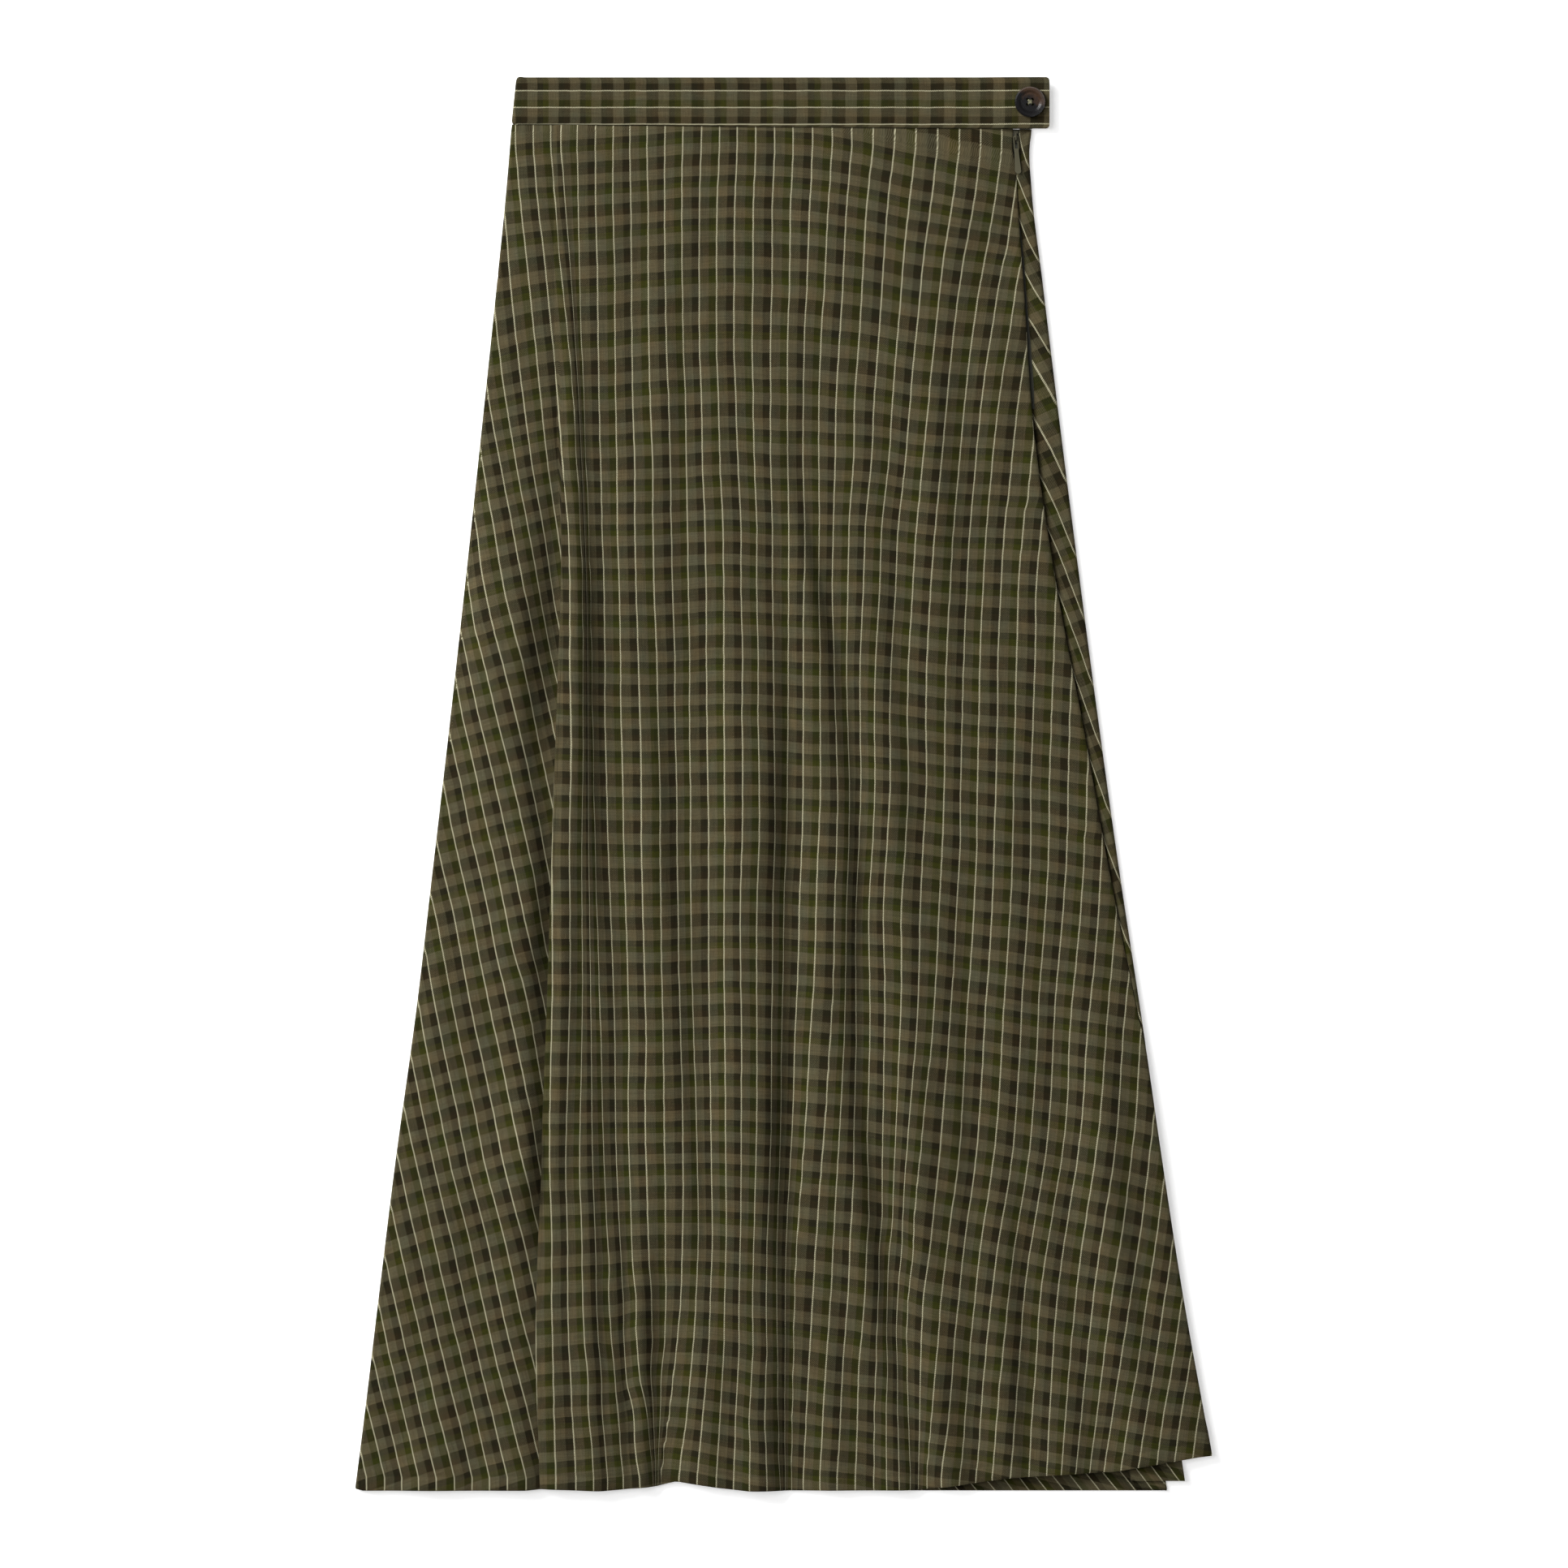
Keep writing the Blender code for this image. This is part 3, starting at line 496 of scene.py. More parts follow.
class Wave(NamedTuple):
    """Uneven humps: how high they are, the cell of one, and which pattern they follow."""

    height: float
    cell: tuple[float, float]
    seed: int

    def at(self, x: np.ndarray, drop: float) -> np.ndarray:
        """Heights of the humps at places across one drop."""
        return self.height * uneven(x, drop, self.cell, self.seed)


@dataclass
class Lay:
    """The places where the folds and edges lie at one drop."""

    drop: float
    wall: float = 1.3
    front_lay: float = 3.4
    left_under: float = 12.0
    inner_bend: float = 0.9
    ridge_bend: float = 1.6
    ridge_slope: float = 27.0
    hidden_clearance: float = 3.0
    crest_in: float = 7.0
    crest_half_width: float = 8.0
    crest_start: float = 6.0
    tuck_slope: float = 25.0
    tuck_clearance: float = 5.0
    tuck_edge_thinning: float = 0.07
    top_ridge_drop: float = 150.0
    ridge_growth: float = 320.0
    steps: int = 60
    front_steps: int = 360

    def __post_init__(self) -> None:
        """Works out the folds and edges at this drop."""
        self.floor = self.wall / 2
        self.left = read(OUTLINE, "left", self.drop) + self.wall / 2
        self.right = read(OUTLINE, "right", self.drop) - self.wall / 2
        self.over = read(OUTLINE, "over", self.drop) - self.wall / 2
        self.left_bend = (self.front_lay - self.floor) / 2

        fold = self.turned(FRONT_FOLD)
        bends = (self.inner_bend, self.ridge_bend)
        self.fold_x, self.fold_z = self.s_bend(*fold, *bends)
        edge = read(FRONT_FOLD, "edge", self.drop) + self.wall / 2
        self.fold_start = edge - self.reach(*fold, *bends)
        self.fold_end = self.fold_start + self.fold_x[-1]
        self.fold_rise = self.fold_z[-1]
        self.crest = read(FRONT_FOLD, "crest", self.drop)

        tuck = self.turned(BACK_TUCK)
        bends = (self.inner_bend, self.inner_bend)
        self.tuck_x, self.tuck_z = self.s_bend(*tuck, *bends)
        edge = self.right - read(BACK_TUCK, "edge", self.drop)
        self.tuck_start = edge + self.reach(*tuck, *bends)
        self.tuck_rise = self.tuck_z[-1]
        self.under = self.floor + self.tuck_rise
        self.right_bend = self.left_bend - self.tuck_edge_thinning * self.tuck_rise
        self.right_centre = self.right - self.right_bend

    def turned(self, table: tuple) -> tuple:
        """How far a fold has turned over at this drop, in radians, and its run."""
        turn = min(max(read(table, "turn", self.drop), 0.0), 180.0)
        return math.radians(turn), max(read(table, "run", self.drop), 0.0)

    def s_bend(self, turn: float, run: float, first: float, last: float) -> tuple:
        """Offsets along an S.

        Args:
            turn: How far it bends up, and down again.
            run: Length of its straight part.
            first: Radius of its first bend.
            last: Radius of its last bend.

        Returns:
            Offsets across and up.
        """
        up = np.linspace(0.0, turn, self.steps)
        down = up[::-1]
        x = first * np.sin(up)
        z = first * (1 - np.cos(up))
        x_last = x[-1] + run * math.cos(turn) + last * (math.sin(turn) - np.sin(down))
        z_last = z[-1] + run * math.sin(turn) + last * (np.cos(down) - math.cos(turn))
        return np.append(x, x_last), np.append(z, z_last)

    @staticmethod
    def reach(turn: float, run: float, first: float, last: float) -> float:
        """How far the visible edge of an S lies beyond its start."""
        past_upright = last * (math.sin(turn) - 1) if turn > math.pi / 2 else 0.0
        return first * math.sin(turn) + run * math.cos(turn) + past_upright

    def soft_ridges(self, x: np.ndarray) -> np.ndarray:
        """Height that the soft folds add to the front.

        Args:
            x: Places across it.

        Returns:
            A height for each place.
        """
        total = np.zeros_like(x)
        for ridge in RIDGES:
            path = np.polyfit(RIDGE_DROPS, ridge[:4], 3)
            centre = np.polyval(path, max(self.drop, self.top_ridge_drop))
            grown = ease((self.drop - ridge.starts) / self.ridge_growth)
            total += grown * ridge.height * np.exp(-(((x - centre) / ridge.half_width) ** 2))
        return total

    def front_height(self, x: np.ndarray) -> np.ndarray:
        """Height of the front's cloth right of the deep fold.

        Args:
            x: Places across it.

        Returns:
            A height for each place.
        """
        x = np.asarray(x, float)
        held = self.fold_start + self.inner_bend + self.hidden_clearance
        hold = 1 - ease((x - held) / self.ridge_slope)
        from_crest = (x - self.fold_end - self.crest_in) / self.crest_half_width
        rise = ease((x - self.fold_end) / self.crest_start)
        ends = self.soft_ridges(np.array([self.fold_start, self.fold_end]))
        height = self.front_lay + self.soft_ridges(x)
        height = height + self.crest * np.exp(-(from_crest**2)) * rise
        height = height + (self.fold_rise + ends[0] - ends[1]) * hold
        at_edge = self.front_lay + self.soft_ridges(np.array([self.right_centre]))[0]
        lift = self.under + 2 * self.right_bend - at_edge
        slope_start = self.tuck_start - self.tuck_slope - self.tuck_clearance
        return height + lift * ease((x - slope_start) / self.tuck_slope)

    def section(self) -> "Section":
        """Joins the stretches of the cloth, all round, into one middle line.

        Returns:
            The line, with the distances at which its stretches meet.
        """
        half_turn = np.linspace(0.0, math.pi, self.steps)
        left_centre = self.left + self.left_bend
        start = self.left + self.left_under
        top_left = np.linspace(left_centre, self.fold_start, self.steps)
        top_right = np.linspace(self.fold_end, self.right_centre, self.front_steps)
        fold_foot = self.front_lay + self.soft_ridges(top_left[-1:])[0]
        stretches = {
            "left under": ([start, left_centre], [self.floor, self.floor]),
            "left edge": (
                left_centre - self.left_bend * np.sin(half_turn),
                self.floor + self.left_bend * (1 - np.cos(half_turn)),
            ),
            "top left": (top_left, self.front_lay + self.soft_ridges(top_left)),
            "deep fold": (self.fold_start + self.fold_x, fold_foot + self.fold_z),
            "top right": (top_right, self.front_height(top_right)),
            "right edge": (
                self.right_centre + self.right_bend * np.sin(half_turn),
                self.under + self.right_bend * (1 + np.cos(half_turn)),
            ),
            "right under": ([self.right_centre, self.tuck_start], [self.under, self.under]),
            "tuck": (self.tuck_start - self.tuck_x, self.under - self.tuck_z),
            "floor": ([self.tuck_start - self.tuck_x[-1], start], [self.floor, self.floor]),
        }
        x = np.concatenate([np.asarray(stretch[0], float) for stretch in stretches.values()])
        z = np.concatenate([np.asarray(stretch[1], float) for stretch in stretches.values()])
        along = np.append(0.0, np.cumsum(np.hypot(np.diff(x), np.diff(z))))
        ends = {}
        count = 0
        for name, stretch in stretches.items():
            count += len(stretch[0])
            ends[name] = along[count - 1]
        return Section(x, z, along, ends, self)


class Section:
    """A drop's middle line, with the distances along it at which its stretches end."""

    LENGTH_PER_COLUMN = 12.0
    BEND_PER_COLUMN = math.radians(34)
    DOUBLED = 1e-7

    def __init__(
        self, x: np.ndarray, z: np.ndarray, along: np.ndarray, ends: dict[str, float], lay: Lay
    ) -> None:
        """Keeps the line without its doubled points, and finds its right seam.

        Args:
            x: Places across.
            z: Heights.
            along: Distances along the line.
            ends: The distance at which each named stretch ends.
            lay: The folds and edges at this drop.
        """
        kept = np.append(True, np.diff(along) > self.DOUBLED)
        self.x = x[kept]
        self.z = z[kept]
        self.along = along[kept]
        self.cloth = self.along
        self.ends = ends
        self.lay = lay
        self.edge = (ends["top right"] + ends["right edge"]) / 2
        self.seam = self.edge - math.copysign(self.from_edge(), lay.over)

    def from_edge(self) -> float:
        """Measures the cloth from the right edge to the seam.

        Returns:
            The distance along it.
        """
        quarter = self.lay.right_bend * math.pi / 2
        across = abs(self.lay.over)
        if across > self.lay.right_bend:
            return quarter + across - self.lay.right_bend
        return quarter * across / self.lay.right_bend

    def places(self, start: float, end: float, count: int, even: bool = False) -> np.ndarray:
        """Distances along the line, closer together where it bends.

        Args:
            start: The first distance.
            end: The last distance.
            count: How many steps between them.
            even: Whether the steps have one length instead.

        Returns:
            The distances, both ends among them.
        """
        if even:
            return np.linspace(start, end, count + 1)
        inside = (self.along > start) & (self.along < end)
        along = np.concatenate([[start], self.along[inside], [end]])
        x = np.interp(along, self.along, self.x)
        z = np.interp(along, self.along, self.z)
        length = np.diff(along)
        heading = np.unwrap(np.arctan2(np.diff(z), np.diff(x)))
        bend = np.append(0.0, np.abs(np.diff(heading)))
        weight = length / self.LENGTH_PER_COLUMN + bend / self.BEND_PER_COLUMN
        total = np.append(0.0, np.cumsum(weight))
        return np.interp(np.linspace(0.0, total[-1], count + 1), total, along)


def guide_places(guides: tuple, drop: float) -> tuple[np.ndarray, np.ndarray]:
    """Reads where the guide stripes lie at a drop.

    Args:
        guides: The guide stripes.
        drop: The drop.

    Returns:
        Their numbers and their places across.
    """
    drops = np.array(GUIDE_DROPS)
    numbers = np.array([guide.number for guide in guides], float)
    places = [smooth_through(drops, np.array(guide[1:]), drop) for guide in guides]
    return numbers, np.maximum.accumulate(np.array(places))


def going_on(at: np.ndarray, places: np.ndarray, numbers: np.ndarray, pitch: float) -> np.ndarray:
    """Numbers between known places, going on at the cloth's own pitch outside them."""
    outside = np.minimum(at - places[0], 0.0) / pitch + np.maximum(at - places[-1], 0.0) / pitch
    return np.interp(at, places, numbers) + outside


@dataclass
class Grain:
    """How the check lies on the panels: numbered stripes across, and numbered bands down."""

    stripe_pitch: float = 10.5
    band_pitch: float = 14.0
    stripe_shift: float = 0.6
    joined_drop: float = 150.0
    parted_drop: float = 250.0
    back_phase: float = 240.0
    back_shrink: float = 0.9
    strip_lean: float = 0.42
    under_lean: float = 0.26
    turned_under: float = 1.5
    stripe_waves: tuple = (Wave(0.10, (60.0, 70.0), 21), Wave(0.05, (21.0, 38.0), 22))
    band_waves: tuple = (Wave(0.05, (38.0, 150.0), 23), Wave(0.03, (15.0, 55.0), 24))
    crumpled_stripes: Wave = Wave(1.0, (15.0, 24.0), 25)
    crumpled_bands: Wave = Wave(0.5, (17.0, 30.0), 26)
    grid_x: np.ndarray = field(default_factory=lambda: np.linspace(-290.0, 290.0, 117))
    grid_drops: np.ndarray = field(default_factory=lambda: np.linspace(20.0, LENGTH, 103))

    def __post_init__(self) -> None:
        """Works out the bands' numbers and rises, left and right of the deep fold."""
        self.left = (self.band_numbers(LEFT_BANDS), self.band_rise(LEFT_TILTS, LEFT_BANDS_AT))
        self.right = (self.band_numbers(RIGHT_BANDS), self.band_rise(RIGHT_TILTS, RIGHT_BANDS_AT))

    def band_numbers(self, bands: tuple) -> np.ndarray:
        """Numbers the bands down one side of the deep fold.

        Args:
            bands: The known bands.

        Returns:
            A band number for each drop of the grid.
        """
        drops = np.array([band.drop for band in bands])
        numbers = np.array([band.number for band in bands])
        return np.array([smooth_through(drops, numbers, drop) for drop in self.grid_drops])

    def band_rise(self, tilts: tuple, level_at: float) -> np.ndarray:
        """Works out how far the bands lie above level on a grid of places.

        Args:
            tilts: How steeply the bands fall at places across.
            level_at: The place across at which the bands are numbered by drop.

        Returns:
            Rises, one row for each drop of the grid.
        """
        across = [tilt.across for tilt in tilts]
        table = np.tan(np.radians([tilt.degrees for tilt in tilts]))
        rises = []
        for drop in self.grid_drops:
            at_places = [np.interp(drop, TILT_DROPS, row) for row in table]
            falls = np.interp(self.grid_x, across, at_places)
            steps = (falls[1:] + falls[:-1]) / 2 * np.diff(self.grid_x)
            rise = -np.append(0.0, np.cumsum(steps))
            rises.append(rise - np.interp(level_at, self.grid_x, rise))
        return np.array(rises)

    def bands(self, numbers: np.ndarray, rise: np.ndarray, x: np.ndarray, drop: float) -> np.ndarray:
        """Band numbers at places across one drop, on one side of the deep fold.

        Args:
            numbers: The side's band numbers at the drops of the grid.
            rise: Its grid of rises.
            x: The places.
            drop: The drop.

        Returns:
            A band number for each place.
        """
        row = np.interp(drop, self.grid_drops, np.arange(len(self.grid_drops)))
        low = int(row)
        high = min(low + 1, len(rise) - 1)
        line = rise[low] * (1 - row + low) + rise[high] * (row - low)
        level = drop + np.interp(x, self.grid_x, line)
        return going_on(level, self.grid_drops, numbers, self.band_pitch)

    def on_front(self, section: Section, along: np.ndarray) -> tuple[np.ndarray, np.ndarray]:
        """Args:
            section: The section that the places are on.
            along: Distances along it.

        Returns:
            Stripe numbers and band numbers.
        """
        ends = section.ends
        drop = section.lay.drop
        x = np.interp(along, section.along, section.x)
        start = ends["top left"]
        end = ends["deep fold"]
        left = self.between(section, LEFT_GUIDES, along, ends["left edge"], start)
        right = self.between(section, RIGHT_GUIDES, along, end, ends["top right"])
        spread = max((end - start) / 3, 1.0)
        share = ease((along - (start + end) / 2) / spread + 0.5)
        held = np.clip(x, section.lay.left, section.lay.right)
        fold = section.lay.fold_start
        step = self.bands(*self.right, fold, drop) - self.bands(*self.left, fold, drop)
        joined = 1 - ease((drop - self.joined_drop) / (self.parted_drop - self.joined_drop))
        left_band = self.bands(*self.left, held, drop) + joined * step
        right_band = self.bands(*self.right, held, drop)
        stripe_waves, band_waves = self.waves(x, drop)
        stripes = left * (1 - share) + right * share + stripe_waves
        return stripes, left_band * (1 - share) + right_band * share + band_waves

    def waves(self, x: np.ndarray, drop: float) -> tuple[np.ndarray, np.ndarray]:
        """Works out how far the check wanders, as shares of its pitches.

        Args:
            x: Places across.
            drop: The drop.

        Returns:
            How far the stripes and the bands wander at each place.
        """
        stripes = sum(wave.at(x, drop) for wave in self.stripe_waves)
        bands = sum(wave.at(x, drop) for wave in self.band_waves)
        for patch in CRUMPLES:
            near = patch.near(x, drop)
            stripes = stripes + near * self.crumpled_stripes.at(x, drop)
            bands = bands + near * self.crumpled_bands.at(x, drop)
        return stripes, bands

    def between(
        self, section: Section, guides: tuple, along: np.ndarray, start: float, end: float
    ) -> np.ndarray:
        """Numbers the stripes from guide stripes that cross one stretch of a section.

        Args:
            section: The section.
            guides: The guide stripes.
            along: Distances along the section.
            start: Where the stretch starts.
            end: Where it ends.

        Returns:
            A stripe number for each distance.
        """
        inside = (section.along >= start) & (section.along <= end)
        known_x = section.x[inside]
        numbers, places = guide_places(guides, section.lay.drop)
        places = places + self.stripe_shift
        for sway in SWAYS:
            places = places + sway.near(places, section.lay.drop)
        at = np.interp(places, known_x, section.cloth[inside])
        at = at + np.minimum(places - known_x[0], 0.0) + np.maximum(places - known_x[-1], 0.0)
        cloth = np.interp(along, section.along, section.cloth)
        return going_on(cloth, at, numbers, self.stripe_pitch)

    def on_back(self, section: Section, along: np.ndarray) -> tuple[np.ndarray, np.ndarray]:
        """Args:
            section: The section that the places are on.
            along: Distances along it.

        Returns:
            Stripe numbers and band numbers.
        """
        lay = section.lay
        drops = [stripe.drop for stripe in EDGE_STRIPES]
        crossed = [stripe.crossed for stripe in EDGE_STRIPES]
        slant = np.interp(lay.drop, drops, [stripe.slant for stripe in EDGE_STRIPES])
        x = np.interp(along, section.along, section.x)
        inward = lay.right - x
        over = along < section.edge + self.turned_under
        meets = lay.drop + np.where(over, inward / slant, 0.0)
        under = np.where(over, 0.0, inward)
        stripe_waves, band_waves = self.waves(x, lay.drop)
        stripes = under / self.stripe_pitch - np.interp(meets, drops, crossed) + stripe_waves
        lean = self.strip_lean * np.where(over, x, lay.right)
        down = self.back_shrink * lay.drop + lean + self.under_lean * under - self.back_phase
        return stripes, down / self.band_pitch + band_waves


@dataclass
class Relief:
    """The creases and unevenness that the cloth has on top of its main form."""

    edge_fade: float = 9.0
    fold_fade: float = 3.0
    fold_full: float = 3.0
    broad: Wave = Wave(1.5, (21.0, 90.0), 11)
    fine: Wave = Wave(0.45, (11.0, 44.0), 5)
    swell: float = 0.8
    flat_drop: float = 20.0
    flat_fade: float = 90.0
    crease_swell: float = 0.22
    crease_swell_length: float = 31.0
    layer: float = 1.45
    least_room: float = 0.05
    end_fade: float = 70.0
    seam_roll: float = 1.0
    seam_roll_width: float = 7.0
    seam_dip: float = 0.9
    seam_dip_width: float = 5.0
    seam_fade: float = 4.0
    seam_drop: float = 45.0
    seam_drop_fade: float = 60.0
    stronger: float = 0.6
    stronger_drop: float = 200.0
    stronger_span: float = 120.0
    ditch_depth: float = 0.4
    ditch_half_width: float = 1.1

    def height(self, x: np.ndarray, drop: float) -> np.ndarray:
        """Adds up the creases across one drop.

        Args:
            x: Places across.
            drop: The drop.

        Returns:
            A height for each place.
        """
        total = self.swell + self.broad.at(x, drop) + self.fine.at(x, drop)
        total = total * ease((drop - self.flat_drop) / self.flat_fade)
        drops = np.array(CREASE_DROPS)
        for crease in CREASES:
            centre = smooth_through(drops, np.array(crease[: len(drops)]), drop)
            grown = ease((drop - crease.starts) / crease.grown)
            grown = grown * (1 - ease((drop - crease.ends) / self.end_fade))
            phase = drop / self.crease_swell_length + crease.at_hip
            swell = 1 + self.crease_swell * math.sin(phase)
            width = np.where(x < centre, crease.left_width, crease.right_width)
            total = total + crease.height * grown * swell * np.exp(-(((x - centre) / width) ** 2))
        for dent in DENTS:
            total = total + dent.near(x, drop)
        return total

    def room(self, lay: Lay, x: np.ndarray) -> np.ndarray:
        """Works out how far the front can sink before it meets the cloth below it.

        Args:
            lay: The folds and edges at the drop.
            x: Places across.

        Returns:
            The room at each place.
        """
        left = lay.front_lay + lay.soft_ridges(x)
        base = np.where(x < lay.fold_start, left, lay.front_height(x))
        raised = ease((x - lay.tuck_start + lay.tuck_slope + lay.tuck_clearance) / lay.tuck_slope)
        return np.maximum(base - lay.floor - lay.tuck_rise * raised - self.layer, self.least_room)

    def lifts(self, section: Section, along: np.ndarray) -> np.ndarray:
        """Works out how far the creases and the seam lift the cloth.

        Args:
            section: The section.
            along: Distances along it.

        Returns:
            Lifts along +Z.
        """
        ends = section.ends
        lay = section.lay
        x = np.interp(along, section.along, section.x)
        weight = ease((along - ends["left edge"]) / self.edge_fade)
        weight = weight * ease((ends["top right"] - along) / self.edge_fade)
        from_fold = np.maximum(ends["top left"] - along, along - ends["deep fold"])
        turned = min(lay.fold_rise / self.fold_full, 1.0)
        weight = weight * (1 - turned * (1 - ease(from_fold / self.fold_fade)))
        wanted = self.height(x, lay.drop)
        room = self.room(lay, x)
        sunk = room * (np.exp(np.minimum(wanted, 0.0) / room) - 1)
        return weight * np.where(wanted < 0, sunk, wanted) + self.seam_lift(section, along)

    def seam_lift(self, section: Section, along: np.ndarray) -> np.ndarray:
        """Works out the roll before the right seam, the dip after it and the ditch between.

        Args:
            section: The section.
            along: Distances along it.

        Returns:
            Lifts along +Z.
        """
        top_right = section.ends["top right"]
        drop = section.lay.drop
        beside = along - section.seam
        shown = ease((top_right - section.seam) / self.seam_fade)
        shown = shown * ease((drop - self.seam_drop) / self.seam_drop_fade)
        from_strongest = (drop - self.stronger_drop) / self.stronger_span
        shade = 1 + self.stronger * math.exp(-(from_strongest**2))
        roll = self.seam_roll * shade * np.exp(-((beside / self.seam_roll_width) ** 2))
        dip = self.seam_dip * shade * np.exp(-((beside / self.seam_dip_width) ** 2))
        dip = dip * ease((top_right - along) / self.seam_fade)
        ditch = self.ditch_depth * np.exp(-((beside / self.ditch_half_width) ** 2))
        return shown * (np.where(beside < 0, roll, -dip) - ditch)


class Mesh:
    """Builds mesh objects from arrays of points in millimetres."""

    SHARP_ANGLE = math.radians(50)

    @classmethod
    def add(
        cls, name: str, points: np.ndarray, faces: list, uv: np.ndarray | None = None
    ) -> bpy.types.Object:
        """Adds a mesh object.

        Args:
            name: The object's name.
            points: Its vertices.
            faces: Its faces.
            uv: Cloth coordinates of each vertex, if it has them.

        Returns:
            The object.
        """
        mesh = bpy.data.meshes.new(name)
        mesh.from_pydata((np.asarray(points, float) * MM).tolist(), [], faces)
        mesh.update()
        mesh.shade_smooth()
        mesh.set_sharp_from_angle(angle=cls.SHARP_ANGLE)
        if uv is not None:
            layer = mesh.uv_layers.new(name="Cloth")
            loops = np.empty(len(mesh.loops), np.int32)
            mesh.loops.foreach_get("vertex_index", loops)
            layer.data.foreach_set("uv", np.asarray(uv, np.float32)[loops].ravel())
        obj = bpy.data.objects.new(name, mesh)
        bpy.context.scene.collection.objects.link(obj)
        return obj

    @staticmethod
    def outward(grid: np.ndarray) -> np.ndarray:
        """The outward directions of a grid whose rows go down the skirt and round it."""
        normal = np.cross(np.gradient(grid, axis=0), np.gradient(grid, axis=1))
        return normal / np.maximum(np.linalg.norm(normal, axis=2, keepdims=True), 1e-9)

    @classmethod
    def wall(
        cls, name: str, grid: np.ndarray, half: np.ndarray, uv: np.ndarray
    ) -> bpy.types.Object:
        """Adds a closed wall of cloth on both sides of a grid of points.

        Args:
            name: The object's name.
            grid: Points of the wall's middle, in rows.
            half: Half its thickness at each point.
            uv: Cloth coordinates of each point.

        Returns:
            The object.
        """
        rows, columns = grid.shape[:2]
        offset = cls.outward(grid) * half[..., None]
        points = np.concatenate([(grid + offset).reshape(-1, 3), (grid - offset).reshape(-1, 3)])
        points[:, 2] = np.maximum(points[:, 2], 0.0)
        inner = rows * columns
        index = np.arange(inner).reshape(rows, columns)
        a = index[:-1, :-1]
        b = index[1:, :-1]
        c = index[1:, 1:]
        d = index[:-1, 1:]
        outer = np.stack([a, b, c, d], axis=-1).reshape(-1, 4)
        rim = [index[:, 0], index[-1, 1:], index[-2::-1, -1], index[0, -2:0:-1]]
        rim = np.concatenate(rim)
        after = np.roll(rim, -1)
        edge = np.stack([after, rim, inner + rim, inner + after], axis=-1)
        faces = np.concatenate([outer, inner + outer[:, ::-1], edge]).tolist()
        flat = uv.reshape(-1, 2)
        return cls.add(name, points, faces, np.concatenate([flat, flat]))


def ride(obj: bpy.types.Object, material: bpy.types.Material) -> bpy.types.Object:
    """Dresses a piece, lets it ride on the skirt and reports it.

    Args:
        obj: The piece.
        material: Its finish.

    Returns:
        The piece.
    """
    obj.data.materials.append(material)
    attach(obj, "skirt")
    LOG.info("%s: %d faces", obj.name, len(obj.data.polygons))
    return obj


